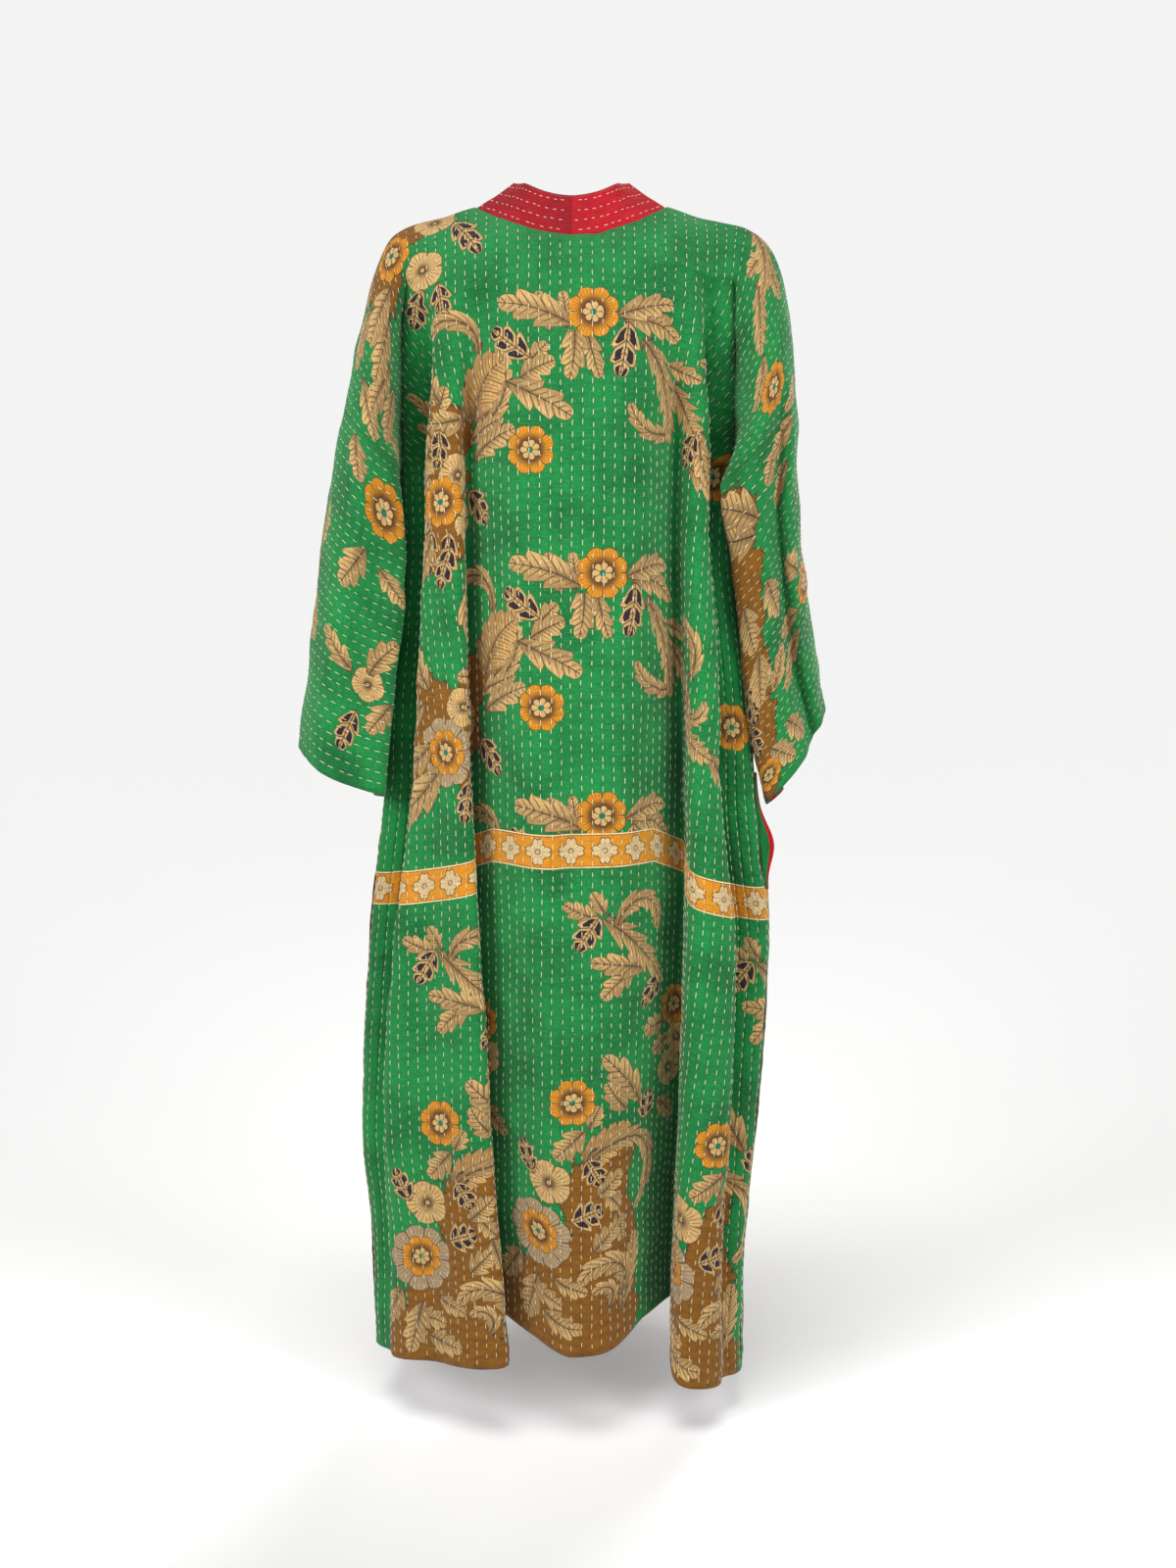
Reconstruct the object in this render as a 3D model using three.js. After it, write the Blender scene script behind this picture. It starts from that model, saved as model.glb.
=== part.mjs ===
// A long quilted cotton kimono robe, filled out as on a wearer who isn't there.
// Millimetres, +Z up. The front faces -Y, the back +Y and the wearer's left is +X.
// The origin is midway between the two neck points of the shoulder seams, where a wearer holds it up.
//
// Every panel is laid out on flat cloth first: s runs across from the centre line and t runs down from
// the shoulder seam, positive on the back and negative on the front. clothAt(s, t) hangs that flat cloth.

import * as THREE from 'three';

// Driving dimensions
const clothThickness = 2;
const bandThickness = 3;
const seamGap = 0.4;
const robeLength = 1288;
const halfCutWidth = 385;
const armholeDepth = 265;
const sleeveLength = 380;
const neckHalfWidth = 104;
const backNeckDrop = 56;
const neckbandWidth = 48;
const frontEdge = 56;
const neckMeetsFrontEdge = 340;
const pocketMouthTop = 590;
const pocketMouthLength = 130;
const pocketGapesAt = 668;

// How the cloth rolls over the shoulders
const shoulderSlope = 0.3;
const sideDrop = 66;
const hemSag = { left: -12, right: 10 };
const foldLift = 0.45;
const rollLength = { back: 122, front: 128 };
const rollLoss = 32;
const rollLossLength = 60;

// The crease between arm and body runs from below the shoulder tip to the foot of the armhole
const creaseFromAcross = 188;
const creaseFromDown = 90;
const creaseBend = 1.5;
const creaseAngleAtTop = 72;

// Cloth past the crease's start is tucked under the arm: this share of its width is left at the armhole,
// and all of it from further down
const underarmShare = 0.72;
const fullWidthFrom = 850;

// Mesh density, as cells along each edge
const columnsToSeam = [
  { from: 0, to: 85, cells: 5 },
  { from: 85, to: 220, cells: 13 },
  { from: 220, to: halfCutWidth, cells: 9 },
];
const cellsToCrease = 11;
const cellsBelowCrease = 14;
const cellsAlongSleeve = 8;
const cellsRoundNeck = 9;
const cellsAcrossBand = 2;

// Level sections through the body: how far it reaches each way at each height below the neck
const bodySections = [
  { down: 0, left: 190, right: 186, back: 112, front: 120 },
  { down: 250, left: 187, right: 180, back: 120, front: 130 },
  { down: 370, left: 187, right: 177, back: 121, front: 133 },
  { down: 450, left: 195, right: 188, back: 120, front: 132 },
  { down: 540, left: 203, right: 201, back: 120, front: 130 },
  { down: 640, left: 210, right: 211, back: 121, front: 129 },
  { down: 710, left: 218, right: 221, back: 122, front: 129 },
  { down: 780, left: 227, right: 230, back: 124, front: 130 },
  { down: 900, left: 236, right: 226, back: 128, front: 133 },
  { down: 1040, left: 242, right: 217, back: 132, front: 137 },
  { down: 1150, left: 234, right: 206, back: 136, front: 140 },
  { down: 1300, left: 230, right: 205, back: 140, front: 145 },
];

// Side seams, as the angle from the centre line round each section. The right one turns to the back.
const seamAngle = { left: 83, right: 72, turnsFrom: 380, turnsTo: 720 };

// Folds that take up the cloth left over by the sections. Depths are shares of what the cloth needs.
// Lean carries a fold's bottom sideways, under its outer lobe.
const deepFolds = [
  { panel: 'back', side: 'left', atTop: 97, atHem: 34, width: 21, lean: 0.85, topDepth: 0.35, hemDepth: 1 },
  { panel: 'back', side: 'right', atTop: 107, atHem: 80, width: 24, lean: 0.6, topDepth: 0.35, hemDepth: 1 },
  { panel: 'front', side: 'left', atTop: 126, atHem: 122, width: 26, lean: 0.3, topDepth: 0.4, hemDepth: 1 },
  { panel: 'front', side: 'right', atTop: 122, atHem: 134, width: 27, lean: 0.34, topDepth: 0.4, hemDepth: 1 },
];
const underarmFold = { beforeSeam: 36, width: 16, topDepth: 1, hemDepth: 0.12 };
const foldDriftPower = 1.6;

// Shallow swells (positive) and troughs (negative) on the lobes between the deep folds
const softFolds = [
  { panel: 'back', side: 'left', at: 165, width: 34, swell: -12, from: 380 },
  { panel: 'back', side: 'left', at: 30, width: 34, swell: 8, from: 300 },
  { panel: 'back', side: 'right', at: 165, width: 36, swell: 12, from: 560 },
  { panel: 'back', side: 'right', at: 48, width: 30, swell: -6, from: 620 },
  { panel: 'front', side: 'left', at: 182, width: 30, swell: 10, from: 420 },
  { panel: 'front', side: 'right', at: 180, width: 32, swell: -9, from: 480 },
];

// Rings round each arm, from the shoulder to the cuff: each ring's outer end and, on the sleeve, its inner
const armRings = {
  left: [
    { s: 150, outX: 147, outY: 0, outDown: 12, inX: 180, inY: 0, inDown: 270 },
    { s: 178, outX: 174, outY: 0, outDown: 20, inX: 180, inY: 0, inDown: 270 },
    { s: 203, outX: 195, outY: 0, outDown: 34, inX: 180, inY: 0, inDown: 280 },
    { s: 228, outX: 207, outY: 0, outDown: 58, inX: 182, inY: 0, inDown: 290 },
    { s: 262, outX: 218, outY: 0, outDown: 90, inX: 184, inY: 0, inDown: 295 },
    { s: 310, outX: 229, outY: 0, outDown: 136, inX: 186, inY: 0, inDown: 300 },
    { s: 385, outX: 245, outY: 0, outDown: 208, inX: 198, inY: 0, inDown: 305 },
    { s: 505, outX: 269, outY: -4, outDown: 324, inX: 203, inY: 4, inDown: 405 },
    { s: 635, outX: 287, outY: -8, outDown: 450, inX: 212, inY: 6, inDown: 512 },
    { s: 765, outX: 305, outY: -10, outDown: 580, inX: 220, inY: 8, inDown: 638 },
  ],
  right: [
    { s: 150, outX: 148, outY: 0, outDown: 11, inX: 172, inY: 0, inDown: 270 },
    { s: 178, outX: 175, outY: 0, outDown: 18, inX: 172, inY: 0, inDown: 270 },
    { s: 203, outX: 199, outY: 0, outDown: 28, inX: 172, inY: 0, inDown: 280 },
    { s: 228, outX: 216, outY: 0, outDown: 45, inX: 172, inY: 0, inDown: 290 },
    { s: 262, outX: 228, outY: 0, outDown: 76, inX: 176, inY: 0, inDown: 295 },
    { s: 310, outX: 236, outY: 0, outDown: 123, inX: 180, inY: 0, inDown: 300 },
    { s: 385, outX: 244, outY: 0, outDown: 199, inX: 192, inY: -4, inDown: 310 },
    { s: 505, outX: 251, outY: -14, outDown: 316, inX: 205, inY: -8, inDown: 425 },
    { s: 635, outX: 266, outY: -32, outDown: 428, inX: 217, inY: -8, inDown: 540 },
    { s: 765, outX: 289, outY: -50, outDown: 538, inX: 240, inY: -6, inDown: 636 },
  ],
};

// Creases and lobes down the sleeves, as the distance round the ring from its outer end
const sleeveCreases = [
  { side: 'left', panel: 'back', at: 150, width: 22, from: 325, back: -12, inward: 0, sag: 0 },
  { side: 'left', panel: 'back', at: 182, width: 34, from: 330, back: 6, inward: 24, sag: 0 },
  { side: 'left', panel: 'front', at: 120, width: 22, from: 325, back: -12, inward: 0, sag: 0 },
  { side: 'right', panel: 'back', at: 105, width: 15, from: 300, back: -24, inward: 0, sag: 0 },
  { side: 'right', panel: 'back', at: 184, width: 38, from: 300, back: 16, inward: 52, sag: 38 },
  { side: 'right', panel: 'front', at: 150, width: 22, from: 325, back: -12, inward: 0, sag: 0 },
];

// The neckband's lean, as the direction across it at points along its seam, measured from the centre back
const bandLean = [
  { along: 0, x: 0, y: -0.5, z: 0.86 },
  { along: 62, x: -0.3, y: -0.42, z: 0.85 },
  { along: 118, x: -0.8, y: -0.2, z: 0.56 },
  { along: 170, x: -0.88, y: 0.1, z: 0.46 },
  { along: 260, x: -0.97, y: -0.12, z: 0.2 },
  { along: 420, x: -1, y: -0.06, z: 0.04 },
  { along: 1500, x: -1, y: -0.03, z: 0 },
];

const clothColours = { green: 0x1d8444, greenSleeve: 0x1f8a48, red: 0xa8101f };

const clamp01 = (x) => Math.min(1, Math.max(0, x));
const smoothStep = (from, to, x) => {
  const u = clamp01((x - from) / (to - from));
  return u * u * (3 - 2 * u);
};
const mix = (a, b, share) => a + (b - a) * share;
const bell = (x) => Math.exp(-x * x);

// A column of a table at any value of its key column, on a smooth curve through the rows
function readTable(table, key, column, at) {
  const last = table.length - 1;
  const value = (i) => table[i][column];
  const place = (i) => table[i][key];
  if (at <= place(0)) return value(0);
  if (at >= place(last)) return value(last);
  let i = 0;
  while (place(i + 1) < at) i += 1;
  const slope = (j) => {
    const before = Math.max(0, j - 1);
    const after = Math.min(last, j + 1);
    return (value(after) - value(before)) / (place(after) - place(before));
  };
  const span = place(i + 1) - place(i);
  const u = (at - place(i)) / span;
  const u2 = u * u;
  const u3 = u2 * u;
  return (
    value(i) * (2 * u3 - 3 * u2 + 1) +
    slope(i) * span * (u3 - 2 * u2 + u) +
    value(i + 1) * (3 * u2 - 2 * u3) +
    slope(i + 1) * span * (u3 - u2)
  );
}

// Points along a line at equal steps of its own length
function measured(points) {
  const lengths = [0];
  for (let i = 1; i < points.length; i += 1) {
    lengths.push(lengths[i - 1] + points[i].distanceTo(points[i - 1]));
  }
  return { points, lengths, total: lengths[lengths.length - 1] };
}

function pointAlong(line, length) {
  const { points, lengths, total } = line;
  const last = points.length - 1;
  if (length >= total) {
    const end = points[last].clone().sub(points[last - 1]).normalize();
    return points[last].clone().addScaledVector(end, length - total);
  }
  let low = 0;
  let high = last;
  while (high - low > 1) {
    const middle = (low + high) >> 1;
    if (lengths[middle] <= length) low = middle;
    else high = middle;
  }
  const share = (length - lengths[low]) / (lengths[high] - lengths[low]);
  return points[low].clone().lerp(points[high], share);
}

// Finds the value that brings a rising measure to its target
function solve(measure, target, low, high) {
  for (let i = 0; i < 18; i += 1) {
    const middle = (low + high) / 2;
    if (measure(middle) < target) low = middle;
    else high = middle;
  }
  return (low + high) / 2;
}

const remember = (make) => {
  const kept = new Map();
  return (...key) => {
    const name = key.join();
    if (!kept.has(name)) kept.set(name, make(...key));
    return kept.get(name);
  };
};

const downAt = (t) => t - rollLoss * Math.tanh(t / rollLossLength);
const dropAt = (s) => {
  const past = Math.max(0, s - neckHalfWidth);
  return sideDrop * (1 - Math.exp((-past * shoulderSlope) / sideDrop));
};

// The crease line between arm and body: how far down it lies at s, and how far across it lies at t
const creaseDownAt = (s) => {
  const u = clamp01((s - creaseFromAcross) / (halfCutWidth - creaseFromAcross));
  return mix(creaseFromDown, armholeDepth, u ** (1 / creaseBend));
};
const creaseAcrossAt = (t) => {
  const u = clamp01((t - creaseFromDown) / (armholeDepth - creaseFromDown));
  return mix(creaseFromAcross, halfCutWidth, u ** creaseBend);
};
const tucked = (s, t) => {
  const share = mix(underarmShare, 1, smoothStep(armholeDepth, fullWidthFrom, t));
  return s - (1 - share) * Math.max(0, s - creaseFromAcross);
};

// One half of a level section, from the centre line to the side seam, with its folds made a given depth
function halfSection(panel, side, t, foldDepth) {
  const down = downAt(t) + sideDrop * 0.7;
  const reach = readTable(bodySections, 'down', side, down);
  const roll = Math.tanh(t / rollLength[panel]);
  const near = readTable(bodySections, 'down', panel, down) * roll;
  const far = readTable(bodySections, 'down', panel === 'back' ? 'front' : 'back', down) * roll;
  const towardsSeam = clamp01((t - creaseFromDown) / (armholeDepth - creaseFromDown));
  const turned = side === 'right' ? smoothStep(seamAngle.turnsFrom, seamAngle.turnsTo, down) : 0;
  const backAngle = mix(seamAngle.left, seamAngle.right, turned);
  const endAngle = mix(creaseAngleAtTop, panel === 'back' ? backAngle : 180 - backAngle, towardsSeam);
  const steps = 160;
  const squareness = 0.84;
  const base = [];
  for (let i = 0; i <= steps; i += 1) {
    const angle = (endAngle * (Math.PI / 180) * i) / steps;
    const sine = Math.max(0, Math.sin(angle));
    const cosine = Math.cos(angle);
    const y = cosine > 0 ? near * cosine ** squareness : -far * (-cosine) ** squareness;
    base.push(new THREE.Vector3(reach * sine ** squareness, y, 0));
  }
  const line = measured(base);
  const share = clamp01(down / robeLength);
  const seamward = { ...underarmFold, panel, side, lean: 0 };
  seamward.atTop = line.total - underarmFold.beforeSeam;
  seamward.atHem = seamward.atTop;
  const lifts = [];
  const folded = base.map((point, i) => {
    const before = base[Math.max(0, i - 1)];
    const after = base[Math.min(steps, i + 1)];
    const along = after.clone().sub(before).normalize();
    const out = new THREE.Vector3(-along.y, along.x, 0);
    const moved = point.clone();
    let inFold = 0;
    const here = line.lengths[i];
    const pinned = smoothStep(0, 12, line.total - here) * smoothStep(0, 20, here);
    for (const fold of [...deepFolds, seamward]) {
      if (fold.panel !== panel || fold.side !== side) continue;
      const at = mix(fold.atTop, fold.atHem, share ** foldDriftPower);
      const deepest = foldDepth * mix(fold.topDepth, fold.hemDepth, share);
      const depth = deepest * bell((here - at) / fold.width) * pinned;
      moved.addScaledVector(out, -depth);
      moved.addScaledVector(along, depth * fold.lean);
      if (fold !== seamward) inFold += depth;
    }
    for (const fold of softFolds) {
      if (fold.panel !== panel || fold.side !== side) continue;
      const grown = smoothStep(fold.from, fold.from + 350, down);
      moved.addScaledVector(out, fold.swell * grown * pinned * bell((here - fold.at) / fold.width));
    }
    lifts.push(inFold * foldLift * smoothStep(0.5, 1, share));
    return moved;
  });
  const section = measured(folded);
  folded.forEach((point, i) => point.setZ(lifts[i]));
  return section;
}

// The folds' depth is what brings the half section to the width that the cloth was cut to
const sectionAt = remember((panel, side, t) => {
  if (t <= creaseFromDown) return halfSection(panel, side, t, 0);
  const width = tucked(creaseAcrossAt(t), t);
  const depth = solve((d) => halfSection(panel, side, t, d).total, width, 0, 160);
  return halfSection(panel, side, t, depth);
});

const faceBy = (point, panel, side) =>
  point.set(side === 'left' ? point.x : -point.x, panel === 'back' ? point.y : -point.y, point.z);

// A point of the body, where the cloth hangs from the shoulder
function bodyAt(panel, side, s, t) {
  const point = pointAlong(sectionAt(panel, side, t), tucked(s, t));
  const sag = hemSag[side] * smoothStep(neckHalfWidth, 300, s) * (t / robeLength);
  point.z += -downAt(t) - dropAt(s) - sag;
  return faceBy(point, panel, side);
}

// The inner end of a ring round the arm: on the crease up to the sleeve seam, and free of the body beyond
function innerEnd(panel, side, s) {
  if (s <= halfCutWidth) return bodyAt(panel, side, s, creaseDownAt(s));
  const rings = armRings[side];
  const seam = bodyAt('back', side, halfCutWidth, armholeDepth);
  const free = new THREE.Vector3(
    (side === 'left' ? 1 : -1) * readTable(rings, 's', 'inX', s),
    readTable(rings, 's', 'inY', s),
    -readTable(rings, 's', 'inDown', s),
  );
  return seam.lerp(free, smoothStep(halfCutWidth - 25, halfCutWidth + 75, s));
}

// Half of a ring round the arm, from its outer end past the back or the front to its inner end
function halfRing(panel, side, s, depth) {
  const rings = armRings[side];
  const sign = side === 'left' ? 1 : -1;
  const facing = panel === 'back' ? 1 : -1;
  const outer = new THREE.Vector3(
    sign * readTable(rings, 's', 'outX', s),
    readTable(rings, 's', 'outY', s),
    -readTable(rings, 's', 'outDown', s),
  );
  const inner = innerEnd(panel, side, s);
  const centre = outer.clone().add(inner).multiplyScalar(0.5);
  const spoke = outer.clone().sub(centre);
  const steps = 60;
  const points = [];
  for (let i = 0; i <= steps; i += 1) {
    const angle = (Math.PI * i) / steps;
    const point = centre.clone().addScaledVector(spoke, Math.cos(angle));
    point.y += facing * depth * Math.sin(angle) ** 0.9;
    points.push(point);
  }
  const line = measured(points);
  points.forEach((point, i) => {
    const pinned = smoothStep(8, 70, line.total - line.lengths[i]);
    for (const crease of sleeveCreases) {
      if (crease.panel !== panel || crease.side !== side) continue;
      const grown = smoothStep(crease.from, crease.from + 150, s);
      const pull = pinned * grown * bell((line.lengths[i] - crease.at) / crease.width);
      point.y += facing * crease.back * pull;
      point.x -= sign * crease.inward * pull;
      point.z -= crease.sag * pull;
    }
  });
  return measured(points);
}

const ringAt = remember((panel, side, s) => {
  const around = s < halfCutWidth ? creaseDownAt(s) : armholeDepth;
  const depth = solve((d) => halfRing(panel, side, s, d).total, around, 0, 220);
  return halfRing(panel, side, s, depth);
});

// The flat cloth hung in space. Past the side seams and the underarm it carries on into the panel beyond.
function clothAt(sAcross, tDown) {
  const side = sAcross >= 0 ? 'left' : 'right';
  let s = Math.abs(sAcross);
  let t = tDown;
  if (s > halfCutWidth && Math.abs(t) > armholeDepth) {
    if (s - halfCutWidth < Math.abs(t) - armholeDepth) {
      s = 2 * halfCutWidth - s;
      t = -t;
    } else {
      t = -Math.sign(t) * (2 * armholeDepth - Math.abs(t));
    }
  }
  const panel = t >= 0 ? 'back' : 'front';
  t = Math.abs(t);
  const crease = creaseDownAt(s);
  const isArm = t < crease || s > halfCutWidth;
  const onArm = isArm ? smoothStep(creaseFromAcross - 35, creaseFromAcross + 25, s) : 0;
  const point = new THREE.Vector3();
  if (onArm < 1) point.addScaledVector(bodyAt(panel, side, s, t), 1 - onArm);
  if (onArm > 0) point.addScaledVector(pointAlong(ringAt(panel, side, s), t), onArm);
  return point;
}

function outwardAt(s, t) {
  const step = 3;
  const across = clothAt(s + step, t).sub(clothAt(s - step, t));
  const down = clothAt(s, t + step).sub(clothAt(s, t - step));
  return down.cross(across).normalize();
}

// Closes a grid of cloth points into a wall. rows[i][j] holds a middle point and its outward direction.
function wallFrom(rows, thickness, joinedRound = false) {
  const high = rows.length;
  const wide = rows[0].length;
  const positions = [];
  for (const sign of [0.5, -0.5]) {
    for (const row of rows) {
      for (const { point, outward } of row) {
        positions.push(...point.clone().addScaledVector(outward, sign * thickness).toArray());
      }
    }
  }
  const index = [];
  const outer = (i, j) => i * wide + (j % wide);
  const inner = (i, j) => high * wide + outer(i, j);
  const quad = (a, b, c, d) => index.push(a, b, c, a, c, d);
  const columns = joinedRound ? wide : wide - 1;
  for (let i = 0; i < high - 1; i += 1) {
    for (let j = 0; j < columns; j += 1) {
      quad(outer(i, j), outer(i + 1, j), outer(i + 1, j + 1), outer(i, j + 1));
      quad(inner(i, j), inner(i, j + 1), inner(i + 1, j + 1), inner(i + 1, j));
    }
  }
  for (let j = 0; j < columns; j += 1) {
    quad(outer(0, j), outer(0, j + 1), inner(0, j + 1), inner(0, j));
    quad(outer(high - 1, j), inner(high - 1, j), inner(high - 1, j + 1), outer(high - 1, j + 1));
  }
  if (!joinedRound) {
    for (let i = 0; i < high - 1; i += 1) {
      quad(outer(i, 0), inner(i, 0), inner(i + 1, 0), outer(i + 1, 0));
      quad(outer(i, wide - 1), outer(i + 1, wide - 1), inner(i + 1, wide - 1), inner(i, wide - 1));
    }
  }
  const geometry = new THREE.BufferGeometry();
  geometry.setAttribute('position', new THREE.Float32BufferAttribute(positions, 3));
  geometry.setIndex(index);
  geometry.computeVertexNormals();
  return geometry;
}

// Turns the faces round if the wall came out inside out
function facingOut(geometry) {
  const p = geometry.getAttribute('position');
  const index = geometry.getIndex();
  const [a, b, c] = [new THREE.Vector3(), new THREE.Vector3(), new THREE.Vector3()];
  let volume = 0;
  for (let i = 0; i < index.count; i += 3) {
    a.fromBufferAttribute(p, index.getX(i));
    b.fromBufferAttribute(p, index.getX(i + 1));
    c.fromBufferAttribute(p, index.getX(i + 2));
    volume += a.dot(b.cross(c));
  }
  if (volume < 0) {
    for (let i = 0; i < index.count; i += 3) {
      const kept = index.getX(i + 1);
      index.setX(i + 1, index.getX(i + 2));
      index.setX(i + 2, kept);
    }
  }
  geometry.computeVertexNormals();
  return geometry;
}

const halfGap = seamGap / 2;

// How far down the rows of a panel lie at s, from its top edge to its hem, with one row along the crease
function rowDepths(s, top) {
  const depths = [];
  for (let i = 0; i < cellsToCrease; i += 1) {
    const u = i / cellsToCrease;
    depths.push(mix(top, creaseDownAt(Math.abs(s)), u + 0.07 * Math.sin(2 * Math.PI * u)));
  }
  for (let i = 0; i <= cellsBelowCrease; i += 1) {
    depths.push(mix(creaseDownAt(Math.abs(s)), robeLength, i / cellsBelowCrease));
  }
  return depths;
}

// Where the columns of a panel lie, from the centre line or the front edge to the side seam
function columnsFrom(start) {
  const columns = [];
  for (const { from, to, cells } of columnsToSeam) {
    for (let i = 0; i < cells; i += 1) columns.push(mix(from, to, i / cells));
  }
  columns.push(halfCutWidth - halfGap);
  return columns.map((s) => mix(start, halfCutWidth - halfGap, s / (halfCutWidth - halfGap)));
}

const panelPoint = (s, t) => ({ point: clothAt(s, t), outward: outwardAt(s, t) });

// The neckline on the flat cloth: a shallow scoop on the back, and a slant to the centre on the front
const backNeckAt = (s) => {
  const share = clamp01(1 - (Math.abs(s) / neckHalfWidth) ** 2);
  return halfGap + backNeckDrop * share;
};
const frontEdgeAt = (t) => {
  const share = smoothStep(-60, neckMeetsFrontEdge, t) * 1.04 - 0.04;
  return mix(neckHalfWidth, frontEdge, share);
};

function backPanel() {
  const half = columnsFrom(0);
  const columns = [...half.slice(1).reverse().map((s) => -s), ...half];
  const depthAt = (s, i) => rowDepths(s, backNeckAt(s))[i];
  const rows = rowDepths(0, 0).map((_, i) => columns.map((s) => panelPoint(s, depthAt(s, i))));
  return facingOut(wallFrom(rows, clothThickness));
}

function frontPanel(side) {
  const sign = side === 'left' ? 1 : -1;
  const spread = columnsFrom(0).filter((_, j) => j % 12 !== 1 || j > 12);
  const rows = rowDepths(0, halfGap).map((_, i) =>
    spread.map((share) => {
      const place = share / (halfCutWidth - halfGap);
      let s = mix(neckHalfWidth, halfCutWidth - halfGap, place);
      for (let pass = 0; pass < 4; pass += 1) {
        s = mix(frontEdgeAt(rowDepths(s, halfGap)[i]), halfCutWidth - halfGap, place);
      }
      return panelPoint(sign * s, -rowDepths(s, halfGap)[i]);
    }),
  );
  return facingOut(wallFrom(rows, clothThickness));
}

function sleeve(side) {
  const sign = side === 'left' ? 1 : -1;
  const half = rowDepths(halfCutWidth, halfGap).slice(0, cellsToCrease);
  const around = [...half.slice(1).reverse().map((t) => -t), 0, ...half.slice(1), armholeDepth];
  const rows = [];
  for (let i = 0; i <= cellsAlongSleeve; i += 1) {
    const s = mix(halfCutWidth + halfGap, halfCutWidth + sleeveLength, i / cellsAlongSleeve);
    rows.push(around.map((t) => panelPoint(sign * s, t)));
  }
  return facingOut(wallFrom(rows, clothThickness, true));
}

// The neckband's seam on the flat cloth, from the centre back round the neck and down the front edge
function bandSeam(side) {
  const sign = side === 'left' ? 1 : -1;
  const seam = [];
  for (let i = 0; i <= cellsRoundNeck; i += 1) {
    const s = mix(halfGap, neckHalfWidth, i / cellsRoundNeck);
    seam.push([sign * s, backNeckAt(s)]);
  }
  for (const t of rowDepths(frontEdge, halfGap).slice(1)) {
    seam.push([sign * frontEdgeAt(t), -t]);
  }
  return seam;
}

function neckband(side) {
  const sign = side === 'left' ? 1 : -1;
  const seam = bandSeam(side).map(([s, t]) => clothAt(s, t));
  const line = measured(seam);
  const lookAhead = 36;
  const rows = seam.map((start, i) => {
    const at = line.lengths[i];
    const read = (column) => readTable(bandLean, 'along', column, at);
    const across = new THREE.Vector3(sign * read('x'), read('y'), read('z')).normalize();
    const before = pointAlong(line, Math.max(0, at - lookAhead));
    const after = pointAlong(line, at + lookAhead);
    const along = after.sub(before);
    if (i === 0) along.set(sign, 0, 0);
    const outward = along.cross(across).multiplyScalar(-sign).normalize();
    const row = [];
    for (let j = 0; j <= cellsAcrossBand; j += 1) {
      const reach = 2 * seamGap + clothThickness / 2 + (neckbandWidth * j) / cellsAcrossBand;
      row.push({ point: start.clone().addScaledVector(across, reach), outward });
    }
    return row;
  });
  return facingOut(wallFrom(rows, bandThickness));
}

// A red strip that binds the mouth of the pocket in the right side seam, and stands out from the seam
function pocketBinding() {
  const rows = [];
  const steps = 10;
  const standsOut = { least: 3, most: 16, spread: 30 };
  for (let i = 0; i <= steps; i += 1) {
    const t = pocketMouthTop + (pocketMouthLength * i) / steps;
    const seam = clothAt(-halfCutWidth, t);
    const outward = new THREE.Vector3(seam.x, seam.y * 0.6, 0).normalize();
    const across = new THREE.Vector3(-outward.y, outward.x, 0);
    const reach = mix(standsOut.least, standsOut.most, bell((t - pocketGapesAt) / standsOut.spread));
    const row = [];
    for (let j = 0; j <= 2; j += 1) {
      const out = clothThickness / 2 + 0.8 + (reach * j) / 2;
      row.push({ point: seam.clone().addScaledVector(outward, out), outward: across });
    }
    rows.push(row);
  }
  return facingOut(wallFrom(rows, clothThickness));
}

function cloth(name, geometry, colour) {
  const material = new THREE.MeshStandardMaterial({ color: colour, roughness: 0.9, metalness: 0 });
  const mesh = new THREE.Mesh(geometry, material);
  mesh.name = name;
  return mesh;
}

const kimono = new THREE.Group();
kimono.add(cloth('back', backPanel(), clothColours.green));
for (const side of ['left', 'right']) {
  kimono.add(cloth(`front_${side}`, frontPanel(side), clothColours.green));
  kimono.add(cloth(`sleeve_${side}`, sleeve(side), clothColours.greenSleeve));
  kimono.add(cloth(`neckband_${side}`, neckband(side), clothColours.red));
}
kimono.add(cloth('pocket_binding', pocketBinding(), clothColours.red));

export default kimono;
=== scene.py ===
"""A long kimono-style robe of printed cotton, quilted all over with running stitches, hung as if worn."""

import math

import bmesh
import bpy
import numpy as np
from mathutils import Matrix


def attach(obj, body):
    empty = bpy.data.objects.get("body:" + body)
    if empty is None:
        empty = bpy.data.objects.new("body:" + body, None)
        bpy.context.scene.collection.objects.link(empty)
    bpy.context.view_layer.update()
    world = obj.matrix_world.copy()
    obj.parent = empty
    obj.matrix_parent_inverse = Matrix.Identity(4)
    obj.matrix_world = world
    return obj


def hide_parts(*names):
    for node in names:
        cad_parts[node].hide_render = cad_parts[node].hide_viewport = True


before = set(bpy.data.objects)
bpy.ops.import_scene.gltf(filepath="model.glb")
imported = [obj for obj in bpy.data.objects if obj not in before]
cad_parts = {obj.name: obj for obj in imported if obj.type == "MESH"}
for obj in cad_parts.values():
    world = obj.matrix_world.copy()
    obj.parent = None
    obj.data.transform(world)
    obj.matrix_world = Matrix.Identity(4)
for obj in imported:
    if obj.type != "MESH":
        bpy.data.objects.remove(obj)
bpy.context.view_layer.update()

# Sizes of the cut cloth, in millimetres. Flat cloth is measured across from the centre and down from
# the shoulder seam; the wearer's left and the back count as positive.
ROBE_LENGTH = 1288.0
HALF_CUT = 385.0
ARMHOLE = 265.0
SLEEVE = 380.0
NECK_HALF = 104.0
NECK_DROP = 56.0
BAND_WIDTH = 48.0
FRONT_EDGE = 56.0
NECK_MEETS_EDGE = 340.0
SEAM_GAP = 0.4
CLOTH = 1.7
BAND = 2.6
POCKET_TOP = 590.0
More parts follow.
